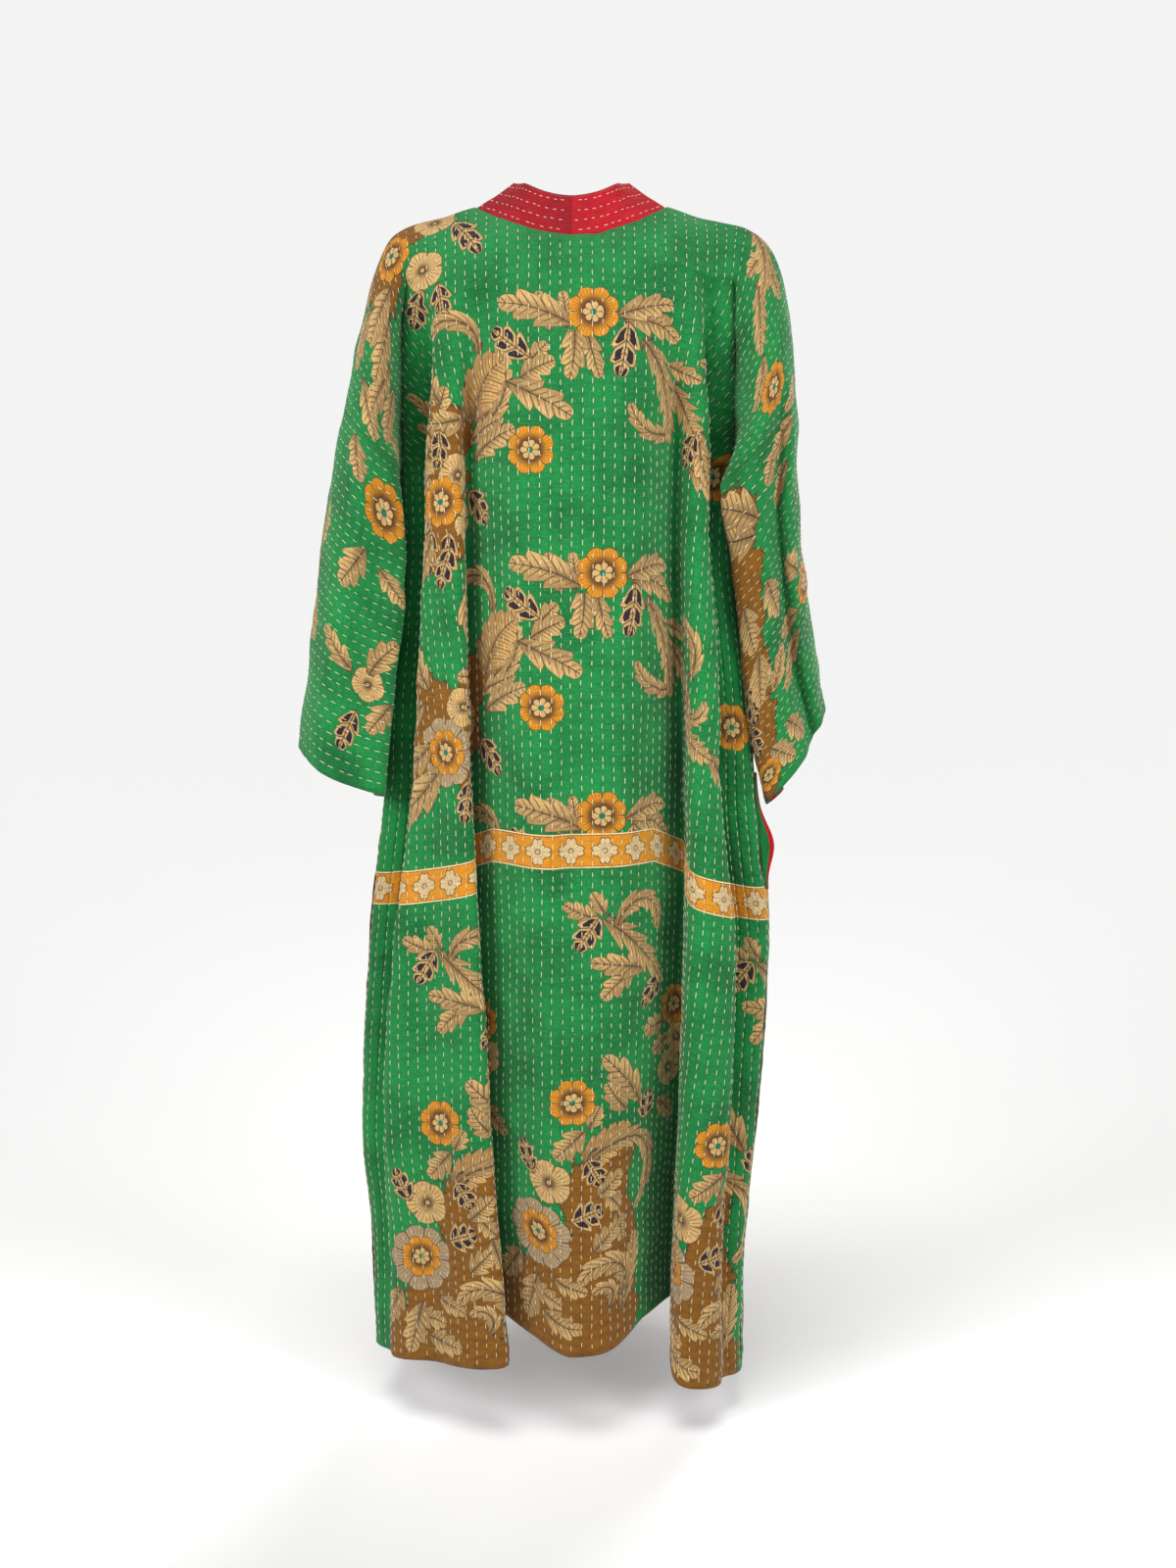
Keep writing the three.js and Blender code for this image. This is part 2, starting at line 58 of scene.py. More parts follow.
POCKET_LENGTH = 130.0
POCKET_GAPES_AT = 668.0

# The grids of faces that become the panels
CELL = 4.6
PANEL_CELLS = int(2 * HALF_CUT / CELL)
LENGTH_CELLS = int(ROBE_LENGTH / CELL)
FRONT_SHARE = 0.42

# The pocket's bound mouth: how far it stands out, and its rows of stitches
POCKET_REACH = 16.0
POCKET_ROWS = (11.5, 14)
POCKET_STITCH = (3.5, 6.0)

# Rows of running stitch
ROW_SPACING = 11.2
STITCH_LENGTH = 7.4
STITCH_STEP = 11.4
THREAD_WIDTH = 0.38
THREAD_HEIGHT = 0.38

# How the cloth rolls over the shoulders
SHOULDER_SLOPE = 0.3
SIDE_DROP = 66.0
HEM_SAG = {"left": -12.0, "right": 10.0}
FOLD_LIFT = 0.45
ROLL_LENGTH = {"back": 122.0, "front": 128.0}
ROLL_LOSS = 32.0
ROLL_LOSS_LENGTH = 60.0

# The crease between arm and body
CREASE_ACROSS = 188.0
CREASE_DOWN = 90.0
CREASE_BEND = 1.5
CREASE_ANGLE = 72.0
UNDERARM_SHARE = 0.72
FULL_WIDTH_FROM = 850.0
ROUNDNESS = 0.84

# Level sections through the body: height below the neck, reach to each side, depth to back and front
BODY = {
    "down": [0, 250, 370, 450, 540, 640, 710, 780, 900, 1040, 1150, 1300],
    "left": [190, 187, 187, 195, 203, 210, 218, 227, 236, 242, 234, 230],
    "right": [186, 180, 177, 188, 201, 211, 221, 230, 226, 217, 206, 205],
    "back": [112, 120, 121, 120, 120, 121, 122, 124, 128, 132, 136, 140],
    "front": [120, 130, 133, 132, 130, 129, 129, 130, 133, 137, 140, 145],
}
SEAM_ANGLE = {"left": 83.0, "right": 72.0, "from": 380.0, "to": 720.0}

# Deep folds: panel, side, place at the top and at the hem, width, lean, then the share of the depth
# at the top and at the hem
DEEP_FOLDS = [
    ("back", "left", 97, 34, 21, 0.85, 0.35, 1.0),
    ("back", "right", 107, 80, 24, 0.6, 0.35, 1.0),
    ("front", "left", 126, 122, 26, 0.3, 0.4, 1.0),
    ("front", "right", 122, 134, 27, 0.34, 0.4, 1.0),
]

# The fold under each arm: place before the side seam, width, share of the depth at the top and hem
UNDERARM_FOLD = (36.0, 16.0, 1.0, 0.12)
FOLD_DRIFT = 1.6

# Shallow swells and troughs: panel, side, place, width, height, where they begin
SOFT_FOLDS = [
    ("back", "left", 165, 34, -12, 380),
    ("back", "left", 30, 34, 8, 300),
    ("back", "right", 165, 36, 12, 560),
    ("back", "right", 48, 30, -6, 620),
    ("front", "left", 182, 30, 10, 420),
    ("front", "right", 180, 32, -9, 480),
]

# Rings round each arm: distance across the cloth, outer end (x, y, down), inner end (x, y, down)
RINGS = {
    "left": [
        (150, 147, 0, 12, 180, 0, 270), (178, 174, 0, 20, 180, 0, 270), (203, 195, 0, 34, 180, 0, 280),
        (228, 207, 0, 58, 182, 0, 290), (262, 218, 0, 90, 184, 0, 295), (310, 229, 0, 136, 186, 0, 300),
        (385, 245, 0, 208, 192, 0, 305), (505, 269, -4, 324, 195, 4, 405),
        (635, 287, -8, 450, 206, 6, 512), (765, 305, -10, 580, 220, 8, 638),
    ],
    "right": [
        (150, 148, 0, 11, 172, 0, 270), (178, 175, 0, 18, 172, 0, 270), (203, 199, 0, 28, 172, 0, 280),
        (228, 216, 0, 45, 172, 0, 290), (262, 228, 0, 76, 176, 0, 295), (310, 236, 0, 123, 180, 0, 300),
        (385, 244, 0, 199, 192, -4, 310), (505, 251, -14, 316, 205, -8, 425),
        (635, 266, -32, 428, 217, -8, 540), (765, 289, -50, 538, 240, -6, 636),
    ],
}

# Creases and lobes down the sleeves: side, panel, place round the ring, width, start, out, inward, sag
SLEEVE_FOLDS = [
    ("left", "back", 150, 22, 325, -12, 0, 0),
    ("left", "back", 182, 34, 330, 6, 24, 0),
    ("left", "front", 120, 22, 325, -12, 0, 0),
    ("right", "back", 105, 15, 300, -24, 0, 0),
    ("right", "back", 184, 38, 300, 16, 52, 38),
    ("right", "front", 150, 22, 325, -12, 0, 0),
]


def smooth(lo, hi, x):
    u = np.clip((x - lo) / (hi - lo), 0, 1)
    return u * u * (3 - 2 * u)


def mix(a, b, share):
    return a + (b - a) * share


def bell(x):
    return np.exp(-x * x)


def read(places, values, at):
    """A smooth curve through a table's rows, read at any places."""
    places, values = np.asarray(places, float), np.asarray(values, float)
    at = np.clip(at, places[0], places[-1])
    i = np.clip(np.searchsorted(places, at, side="right") - 1, 0, len(places) - 2)
    before = np.maximum(np.arange(len(places)) - 1, 0)
    after = np.minimum(np.arange(len(places)) + 1, len(places) - 1)
    slope = (values[after] - values[before]) / (places[after] - places[before])
    span = places[i + 1] - places[i]
    u = (at - places[i]) / span
    return (values[i] * (2 * u**3 - 3 * u**2 + 1) + slope[i] * span * (u**3 - 2 * u**2 + u)
            + values[i + 1] * (3 * u**2 - 2 * u**3) + slope[i + 1] * span * (u**3 - u**2))


def lengths_of(points):
    """Running length along lines of points, shape (lines, points, axes)."""
    steps = np.linalg.norm(np.diff(points, axis=1), axis=2)
    return np.concatenate([np.zeros((len(points), 1)), np.cumsum(steps, axis=1)], axis=1)


def down_at(t):
    """How far below the shoulder line cloth hangs that is t from the seam: some goes over the shoulder."""
    return t - ROLL_LOSS * np.tanh(t / ROLL_LOSS_LENGTH)


def drop_at(s):
    """How far the sloping shoulder line falls by s from the centre."""
    past = np.maximum(0, s - NECK_HALF)
    return SIDE_DROP * (1 - np.exp(-past * SHOULDER_SLOPE / SIDE_DROP))


def crease_down(s):
    """The crease between arm and body: how far down the cloth it lies at s."""
    u = np.clip((s - CREASE_ACROSS) / (HALF_CUT - CREASE_ACROSS), 0, 1)
    return mix(CREASE_DOWN, ARMHOLE, u ** (1 / CREASE_BEND))


def crease_across(t):
    """The same crease: how far across the cloth it lies at t."""
    u = np.clip((t - CREASE_DOWN) / (ARMHOLE - CREASE_DOWN), 0, 1)
    return mix(CREASE_ACROSS, HALF_CUT, u**CREASE_BEND)


def tucked(s, t):
    """How far round the body cloth at s reaches, with some of the width tucked under the arm."""
    share = mix(UNDERARM_SHARE, 1, smooth(ARMHOLE, FULL_WIDTH_FROM, t))
    return s - (1 - share) * np.maximum(0, s - CREASE_ACROSS)


def plain_sections(panel, side, t, down):
    """Half sections without folds, from the centre line to the side seam, for many t at once."""
    roll = np.tanh(t / ROLL_LENGTH[panel])
    reach = read(BODY["down"], BODY[side], down)
    near = read(BODY["down"], BODY[panel], down) * roll
    far = read(BODY["down"], BODY["front" if panel == "back" else "back"], down) * roll
    turned = smooth(SEAM_ANGLE["from"], SEAM_ANGLE["to"], down) if side == "right" else 0 * down
    angle = mix(SEAM_ANGLE["left"], SEAM_ANGLE["right"], turned)
    angle = angle if panel == "back" else 180 - angle
    angle = mix(CREASE_ANGLE, angle, np.clip((t - CREASE_DOWN) / (ARMHOLE - CREASE_DOWN), 0, 1))
    sweep = np.radians(angle) * np.linspace(0, 1, 161)[None, :]
    sine, cosine = np.maximum(np.sin(sweep), 0) ** ROUNDNESS, np.cos(sweep)
    y = np.where(cosine > 0, near, -far) * np.abs(cosine) ** ROUNDNESS
    return np.stack([reach * sine, y], axis=2)


def half_sections(panel, side, t, depth):
    """Half sections with their folds made that deep, and how far the folds lift the hem."""
    t, depth = t[:, None], depth[:, None]
    down = down_at(t) + SIDE_DROP * 0.7
    base = plain_sections(panel, side, t, down)
    here = lengths_of(base)
    total = here[:, -1:]
    first, last = base[:, 1:2] - base[:, :1], base[:, -1:] - base[:, -2:-1]
    along = np.concatenate([first, base[:, 2:] - base[:, :-2], last], axis=1)
    along /= np.maximum(np.linalg.norm(along, axis=2, keepdims=True), 1e-9)
    out = np.stack([-along[..., 1], along[..., 0]], axis=2)
    share = np.clip(down / ROBE_LENGTH, 0, 1)
    pinned = smooth(0, 12, total - here) * smooth(0, 20, here)
    moved = base.copy()
    lift = np.zeros_like(here)
    for who, hand, top, hem, width, lean, top_depth, hem_depth in DEEP_FOLDS:
        if (who, hand) == (panel, side):
            at = mix(top, hem, share**FOLD_DRIFT)
            deep = depth * mix(top_depth, hem_depth, share) * bell((here - at) / width) * pinned
            moved += -out * deep[..., None] + along * (deep * lean)[..., None]
            lift += deep
    before, width, top_depth, hem_depth = UNDERARM_FOLD
    deep = depth * mix(top_depth, hem_depth, share) * bell((here - total + before) / width) * pinned
    moved -= out * deep[..., None]
    for who, hand, at, width, swell, start in SOFT_FOLDS:
        if (who, hand) == (panel, side):
            rise = swell * smooth(start, start + 350, down) * pinned * bell((here - at) / width)
            moved += out * rise[..., None]
    return moved, lift * FOLD_LIFT * smooth(0.5, 1, share)


def solve(measure, target, high, count):
    """Finds, for many cases at once, the value that brings a rising measure to its target."""
    low, high = np.zeros(count), np.full(count, float(high))
    for _ in range(18):
        middle = (low + high) / 2
        short = measure(middle) < target
        low, high = np.where(short, middle, low), np.where(short, high, middle)
    return (low + high) / 2


T_ROWS = np.unique(np.concatenate([
    np.arange(0, 400, 4.0), np.arange(400, ROBE_LENGTH + 8, 8.0), [CREASE_DOWN, ARMHOLE],
]))
S_STEPS = np.arange(0, 430, 1.5)


def resample(lines, values, at):
    """Values along lines of running lengths, read at the lengths of at, and straight on past the end."""
    read_rows = []
    for line, value in zip(lines, values):
        row = np.stack([np.interp(at, line, value[:, k]) for k in range(value.shape[1])], axis=1)
        past = np.maximum(0, at - line[-1])[:, None]
        row += past * (value[-1] - value[-2]) / max(line[-1] - line[-2], 1e-9)
        read_rows.append(row)
    return np.array(read_rows)


def body_table(panel, side):
    """Points round the body by rows of cloth, with the folds as deep as takes up the whole width."""
    width = tucked(crease_across(T_ROWS), T_ROWS)

    def round_the_body(deep):
        return lengths_of(half_sections(panel, side, T_ROWS, deep)[0])[:, -1]

    depth = solve(round_the_body, width, 160, len(T_ROWS))
    depth = np.where(T_ROWS <= CREASE_DOWN, 0, depth)
    points, lift = half_sections(panel, side, T_ROWS, depth)
    return resample(lengths_of(points), np.concatenate([points, lift[..., None]], axis=2), S_STEPS)


BODY_TABLES = {(p, h): body_table(p, h) for p in ("back", "front") for h in ("left", "right")}


def grid_read(table, rows, columns, r, c):
    """Reads a table of points between its rows and columns."""
    i = np.clip(np.searchsorted(rows, r, side="right") - 1, 0, len(rows) - 2)
    j = np.clip(np.searchsorted(columns, c, side="right") - 1, 0, len(columns) - 2)
    u = np.clip((r - rows[i]) / (rows[i + 1] - rows[i]), 0, 1)[..., None]
    v = np.clip((c - columns[j]) / (columns[j + 1] - columns[j]), 0, 1)[..., None]
    return mix(mix(table[i, j], table[i, j + 1], v), mix(table[i + 1, j], table[i + 1, j + 1], v), u)


def body_at(panel, side, s, t):
    found = grid_read(BODY_TABLES[panel, side], T_ROWS, S_STEPS, t, tucked(s, t))
    sag = HEM_SAG[side] * smooth(NECK_HALF, 300, s) * (t / ROBE_LENGTH)
    x = found[..., 0] * (1 if side == "left" else -1)
    y = found[..., 1] * (1 if panel == "back" else -1)
    return np.stack([x, y, found[..., 2] - down_at(t) - drop_at(s) - sag], axis=-1)


RING_ROWS = np.concatenate([
    np.arange(150, HALF_CUT, 5.0), np.arange(HALF_CUT, HALF_CUT + SLEEVE + 12, 6.0),
])
RING_STEPS = np.linspace(0, 1, 140)


def half_rings(panel, side, s, depth):
    """Half rings round an arm at many s, from the outer end past the back or front to the inner end."""
    sign, facing = (1 if side == "left" else -1), (1 if panel == "back" else -1)
    table = np.array(RINGS[side], float)
    column = [read(table[:, 0], table[:, k], s) for k in range(7)]
    outer = np.stack([sign * column[1], column[2], -column[3]], axis=1)
    free = np.stack([sign * column[4], column[5], -column[6]], axis=1)
    reach = np.minimum(s, HALF_CUT)
    inner = body_at(panel, side, reach, crease_down(reach))
    seam = body_at("back", side, np.full_like(s, HALF_CUT), np.full_like(s, ARMHOLE))
    beyond = mix(seam, free, smooth(HALF_CUT - 25, HALF_CUT + 75, s)[:, None])
    inner = np.where((s > HALF_CUT)[:, None], beyond, inner)
    centre, spoke = (outer + inner) / 2, (outer - inner) / 2
    angle = np.pi * np.linspace(0, 1, 61)[None, :, None]
    points = centre[:, None] + spoke[:, None] * np.cos(angle)
    points[..., 1] += facing * depth[:, None] * np.abs(np.sin(angle[..., 0])) ** 0.9
    here = lengths_of(points)
    pinned = smooth(8, 70, here[:, -1:] - here)
    for hand, who, at, width, start, out, inward, sag in SLEEVE_FOLDS:
        if (who, hand) == (panel, side):
            pull = pinned * smooth(start, start + 150, s)[:, None] * bell((here - at) / width)
            points = points + np.stack([-sign * inward * pull, facing * out * pull, -sag * pull], axis=2)
    return points


def ring_table(panel, side):
    """Points round an arm by rows of cloth, bulging as far as takes up the whole length."""
    around = np.where(RING_ROWS < HALF_CUT, crease_down(RING_ROWS), ARMHOLE)

    def round_the_arm(deep):
        return lengths_of(half_rings(panel, side, RING_ROWS, deep))[:, -1]

    depth = solve(round_the_arm, around, 220, len(RING_ROWS))
    points = half_rings(panel, side, RING_ROWS, depth)
    here = lengths_of(points)
    here = here / here[:, -1:]
    return resample(here, points, RING_STEPS)


RING_TABLES = {(p, h): ring_table(p, h) for p in ("back", "front") for h in ("left", "right")}


def cloth_at(across, down):
    """The flat cloth hung in space. Past a seam it carries on into the next panel."""
    across, down = np.broadcast_arrays(np.asarray(across, float), np.asarray(down, float))
    s, t = np.abs(across), down.copy()
    past = (s > HALF_CUT) & (np.abs(t) > ARMHOLE)
    under = past & (s - HALF_CUT < np.abs(t) - ARMHOLE)
    round_arm = past & ~under
    s = np.where(under, 2 * HALF_CUT - s, s)
    t = np.where(under, -t, np.where(round_arm, -np.sign(t) * (2 * ARMHOLE - np.abs(t)), t))
    point = np.zeros(s.shape + (3,))
    for side in ("left", "right"):
        for panel in ("back", "front"):
            here = ((across >= 0) == (side == "left")) & ((t >= 0) == (panel == "back"))
            if not here.any():
                continue
            ss, tt = s[here], np.abs(t[here])
            around = np.where(ss < HALF_CUT, crease_down(ss), ARMHOLE)
            past_crease = smooth(CREASE_ACROSS - 35, CREASE_ACROSS + 25, ss)
            on_arm = np.where((tt < around) | (ss > HALF_CUT), past_crease, 0)
            share = np.clip(tt / around, 0, 1)
            arm = grid_read(RING_TABLES[panel, side], RING_ROWS, RING_STEPS, ss, share)
            point[here] = mix(body_at(panel, side, ss, tt), arm, on_arm[:, None])
    return point


def outward_at(s, t, step=3.0):
    """The direction in which the outside of the cloth faces."""
    across = cloth_at(s + step, t) - cloth_at(s - step, t)
    down = cloth_at(s, t + step) - cloth_at(s, t - step)
    out = np.cross(across, down)
    return out / np.maximum(np.linalg.norm(out, axis=-1, keepdims=True), 1e-9)


def lumps(x, y, size, seed):
    """Smooth random heights from -1 to 1, in lumps of that size."""
    x, y = x / size, y / size
    i, j = np.floor(x), np.floor(y)
    u, v = x - i, y - j
    u, v = u * u * (3 - 2 * u), v * v * (3 - 2 * v)

    def corner(a, b):
        wave = np.sin(a * 127.1 + b * 311.7 + seed * 74.7) * 43758.5453
        return 2 * (wave - np.floor(wave)) - 1

    low = mix(corner(i, j), corner(i + 1, j), u)
    high = mix(corner(i, j + 1), corner(i + 1, j + 1), u)
    return mix(low, high, v)


def wrinkles(s, t):
    """How far the creased cotton stands out of its smooth form, in millimetres."""
    warp = 9 * lumps(s, t, 60, 1)
    broad = 1.1 * lumps(s + warp, t, 46, 2) + 0.7 * lumps(s, t + warp, 23, 3)
    puckers = 0.35 * lumps(s, t * 2.2, 17, 4)
    on_sleeve = smooth(330, 430, np.abs(s))
    return (broad + puckers) * mix(1.0, 1.4, on_sleeve)


def hung(s, t):
    """Points on the outside of the hung cloth and their outward directions, in millimetres."""
    outward = outward_at(s, t)
    return cloth_at(s, t) + outward * (0.9 + wrinkles(s, t))[..., None], outward


# The neckline and the front edge on the flat cloth
def back_neck(s):
    share = np.clip(1 - (np.abs(s) / NECK_HALF) ** 2, 0, 1)
    return SEAM_GAP / 2 + NECK_DROP * share


def front_edge(t):
    return mix(NECK_HALF, FRONT_EDGE, smooth(-60, NECK_MEETS_EDGE, t) * 1.04 - 0.04)


def row_depth(v, s, top):
    """The depth of a panel's row, v from 0 at its top to 1 at its hem, with one row along the crease."""
    crease = crease_down(np.abs(s))
    turn = 0.15
    above = mix(top, crease, np.clip(v / turn, 0, 1))
    return np.where(v < turn, above, mix(crease, ROBE_LENGTH, (v - turn) / (1 - turn)))


def back_place(u, v):
    s = mix(-1, 1, u) * (HALF_CUT - SEAM_GAP / 2)
    return s, row_depth(v, s, back_neck(s))


def front_place(side):
    sign = 1 if side == "left" else -1

    def place(u, v):
        edge = HALF_CUT - SEAM_GAP / 2
        s = mix(NECK_HALF, edge, u)
        for _ in range(4):
            s = mix(front_edge(row_depth(v, s, SEAM_GAP / 2)), edge, u)
        return sign * s, -row_depth(v, s, SEAM_GAP / 2)

    return place


def sleeve_place(side):
    sign = 1 if side == "left" else -1

    def place(u, v):
        s = mix(HALF_CUT + SEAM_GAP / 2, HALF_CUT + SLEEVE, u)
        return sign * s, mix(-ARMHOLE, ARMHOLE, v)

    return place


# The printed motifs. A bloom has petals round an eye; a leaf is a lobed shape along a bent line.
# family 1 leaf or 2 bloom, lobes, lobe depth, tone 0 tan 0.5 ochre 1 grey, windows, eye or fullness
KINDS = {
    "bloom": (2, 8, 0.17, 0.5, 0, 0.42),
    "pansy": (2, 5, 0.15, 0.0, 0, 0.13),
    "halo": (2, 9, 0.13, 1.0, 0, 0.10),
    "leaf": (1, 3, 0.44, 0.0, 0, 0.5),
    "frond": (1, 5, 0.58, 0.0, 0, 0.42),
    "scroll": (1, 4, 0.42, 0.0, 0, 0.4),
    "shell": (1, 5, 0.26, 0.15, 0, 0.42),
    "window": (1, 3, 0.40, 0.0, 1, 0.55),
}

# How many motifs a face can carry, and how much wider leaves are drawn than their rows say
SLOTS = 3
WIDER = {"leaf": 1.3, "frond": 1.35, "scroll": 1.35, "shell": 1.05, "window": 1.12}

# Blooms: kind, across, down, radius. Leaves: kind, from (across, down), to (across, down), half
# width, bend in degrees. Across runs to the right as seen from outside the panel.
# Patches of brown ground: across, down, half width, half length.
UPPER_SPRAY = [
    ("bloom", 23, 146, 28), ("bloom", -43, 288, 26), ("bloom", -227, 318, 26),
    ("bloom", 345, 272, 27), ("window", -43, 194, -85, 164, 15, 0),
    ("window", 60, 156, 50, 214, 15, 10), ("window", 167, 254, 156, 293, 13, 0),
    ("window", -129, 324, -99, 366, 14, 0), ("window", -200, 350, -212, 397, 13, 0),
    ("window", -176, 356, -190, 406, 13, 0), ("window", -173, 250, -187, 288, 13, 0),
    ("leaf", 1, 160, -78, 136, 15, -30), ("leaf", -20, 166, -35, 124, 9, 20),
    ("leaf", -6, 164, -10, 124, 9, -20), ("leaf", 3, 156, -2, 216, 12, 20),
    ("leaf", 17, 166, 30, 215, 9, -10), ("leaf", -53, 214, -17, 196, 12, 20),
    ("leaf", -68, 218, 1, 254, 14, 10), ("leaf", -49, 202, -25, 178, 10, 0),
    ("leaf", -119, 296, -59, 266, 13, 20), ("leaf", -127, 276, -73, 254, 10, 0),
    ("leaf", 48, 150, 112, 137, 12, 20), ("leaf", 55, 154, 121, 172, 13, 40),
    ("frond", 75, 174, 124, 276, 13, 40), ("scroll", 127, 262, 62, 240, 9, 120),
    ("leaf", 109, 198, 154, 204, 9, 10), ("frond", 121, 214, 172, 262, 12, -10),
    ("scroll", 175, 240, 147, 186, 9, -140), ("leaf", 172, 252, 190, 306, 10, -30),
    ("scroll", 182, 280, 200, 258, 7, -140), ("leaf", -140, 244, -196, 238, 12, 30),
    ("leaf", -179, 244, -150, 210, 10, -20), ("frond", 167, 290, 221, 318, 12, -20),
    ("frond", 213, 312, 292, 370, 13, 10), ("leaf", 240, 336, 330, 398, 14, 10),
    ("leaf", 227, 322, 288, 300, 10, -20), ("leaf", -235, 330, -330, 402, 17, 20),
    ("leaf", -246, 308, -318, 350, 14, 0), ("leaf", -250, 262, -322, 300, 14, 0),
    ("leaf", -240, 250, -262, 196, 12, 20), ("leaf", -262, 276, -290, 226, 12, 10),
    ("shell", -118, 256, -72, 196, 27, 50), ("scroll", -104, 262, -80, 182, 9, -110),
    ("scroll", -104, 190, -170, 206, 9, -230), ("pansy", -161, 300, 24), ("pansy", -195, 272, 22),
    ("halo", -227, 318, 39), ("leaf", -104, 192, -98, 222, 10, 0),
]
UPPER_GROUND = [
    (-98, 232, 32, 36), (-160, 262, 44, 34), (-190, 310, 60, 48), (-250, 290, 60, 60),
    (-285, 345, 46, 40),
]

# Extra flowers and leaves that fill the first repeat beside the left fold
SIDE_SPRAY = [
    ("bloom", -184, 324, 27), ("window", -176, 372, -196, 414, 14, 0),
    ("leaf", -160, 226, -182, 176, 13, 10), ("leaf", -176, 238, -222, 206, 13, 0),
    ("leaf", -200, 356, -232, 402, 13, 0), ("pansy", -150, 352, 21),
]
SIDE_GROUND = [(-190, 330, 52, 66), (-200, 250, 44, 48)]

# The left shoulder carries the end of another spray
SHOULDER_SPRAY = [
    ("bloom", -203, 44, 28), ("window", -127, 22, -97, 82, 14, 0),
    ("window", -161, 104, -190, 140, 13, 0), ("window", -143, 102, -138, 146, 13, 0),
    ("pansy", -161, 82, 25), ("pansy", -147, 10, 24), ("pansy", -186, -20, 24),
    ("leaf", -215, 76, -290, 92, 17, 0), ("leaf", -235, 100, -315, 122, 15, 10),
    ("leaf", -262, 60, -335, 80, 14, 0), ("leaf", -271, 130, -352, 134, 14, 0),
    ("leaf", -285, 152, -366, 166, 13, 10), ("leaf", -240, 40, -300, 24, 14, -10),
    ("leaf", -330, 104, -378, 150, 12, 20), ("leaf", -345, 172, -378, 214, 12, 0),
]
SHOULDER_GROUND = [(-190, 20, 34, 30), (-225, 60, 36, 40)]
RIGHT_WING = [
    ("frond", 197, 2, 237, 76, 13, 20), ("frond", 221, 66, 281, 116, 12, -20),
    ("leaf", 223, 42, 270, 48, 11, 0), ("leaf", 215, 30, 205, 70, 9, 0), ("bloom", 335, 112, 26),
    ("leaf", 285, 112, 330, 150, 10, 10), ("leaf", 360, 40, 378, 90, 11, 0),
]

# Under the border: loose sprays, then a dense row that stands on brown down to the hem
LOWER_SPRAY = [
    ("window", 31, 786, 6, 824, 15, 0), ("leaf", 31, 790, -9, 772, 10, 20),
    ("leaf", 37, 784, 22, 760, 9, 0), ("scroll", 51, 798, 109, 812, 10, 190),
    ("frond", 31, 786, 121, 876, 13, 20), ("leaf", 95, 856, 20, 838, 12, -20),
    ("leaf", 77, 848, 34, 880, 12, -30), ("window", 119, 868, 87, 900, 14, 0),
    ("bloom", 150, 905, 27), ("leaf", 132, 925, 92, 932, 12, 0),
    ("leaf", 138, 945, 108, 962, 10, 0), ("pansy", 142, 985, 24), ("pansy", 158, 948, 23),
]
HEM_SPRAY = [
    ("bloom", 1, 994, 27), ("bloom", -39, 1152, 25), ("window", 97, 1038, 102, 1004, 16, 0),
    ("window", 17, 1060, 34, 1090, 15, 0), ("window", -45, 1086, -61, 1048, 13, 0),
    ("window", 0, 1130, 36, 1118, 17, 0), ("leaf", 87, 1012, 36, 944, 14, -20),
    ("leaf", 67, 1012, 40, 974, 11, 20), ("leaf", 119, 1020, 157, 1048, 12, 0),
    ("leaf", 15, 1026, -19, 1058, 13, 0), ("leaf", 19, 1024, 32, 1000, 10, 0),
    ("leaf", 29, 1104, 60, 1080, 12, 0), ("leaf", 25, 1166, 52, 1140, 12, 0),
    ("leaf", 53, 1126, 62, 1164, 10, 0), ("leaf", 40, 1100, 58, 1124, 10, 0),
    ("scroll", 19, 1062, 82, 1140, 10, 200), ("scroll", 62, 1232, 10, 1204, 12, -200),
    ("scroll", 44, 1236, 24, 1216, 8, -200), ("frond", 62, 1250, 82, 1166, 12, -20),
    ("pansy", -25, 1088, 26), ("halo", -39, 1154, 40), ("shell", 15, 1062, 72, 1034, 20, 30),
    ("leaf", -41, 1206, -59, 1268, 14, 0), ("leaf", -35, 1246, 12, 1256, 13, -20),
    ("leaf", -49, 1222, -10, 1230, 12, 0), ("leaf", -66, 1190, -92, 1236, 13, 0),
    ("leaf", -20, 1200, 18, 1214, 10, 0),
]
HEM_GROUND = [
    (30, 1110, 42, 60), (45, 1165, 42, 52), (5, 1205, 66, 60), (-20, 1260, 84, 60),
    (50, 1260, 44, 50), (55, 1066, 26, 26),
]
LEFT_SLEEVE = [
    ("bloom", -443, 162, 28), ("leaf", -392, 120, -432, 128, 13, 10),
    ("leaf", -491, 140, -552, 112, 14, 0), ("leaf", -505, 160, -540, 196, 12, 0),
    ("window", -680, 150, -729, 134, 13, 0), ("leaf", -637, 160, -588, 190, 13, 20),
    ("leaf", -663, 188, -700, 166, 12, 0), ("leaf", -640, 140, -610, 96, 12, 0),
    ("pansy", -648, 160, 20), ("bloom", -560, 20, 27), ("leaf", -580, 40, -640, 66, 13, 10),
    ("leaf", -540, 40, -480, 70, 13, -10), ("window", -575, 0, -620, -24, 14, 0),
    ("leaf", -540, 0, -500, -40, 13, 0), ("bloom", -460, -110, 26),
    ("leaf", -480, -100, -540, -60, 14, 10), ("window", -450, -130, -420, -170, 14, 0),
    ("bloom", -680, -120, 27), ("leaf", -660, -130, -600, -160, 14, 0),
    ("leaf", -700, -100, -730, -50, 13, 0), ("pansy", -560, -200, 24),
]
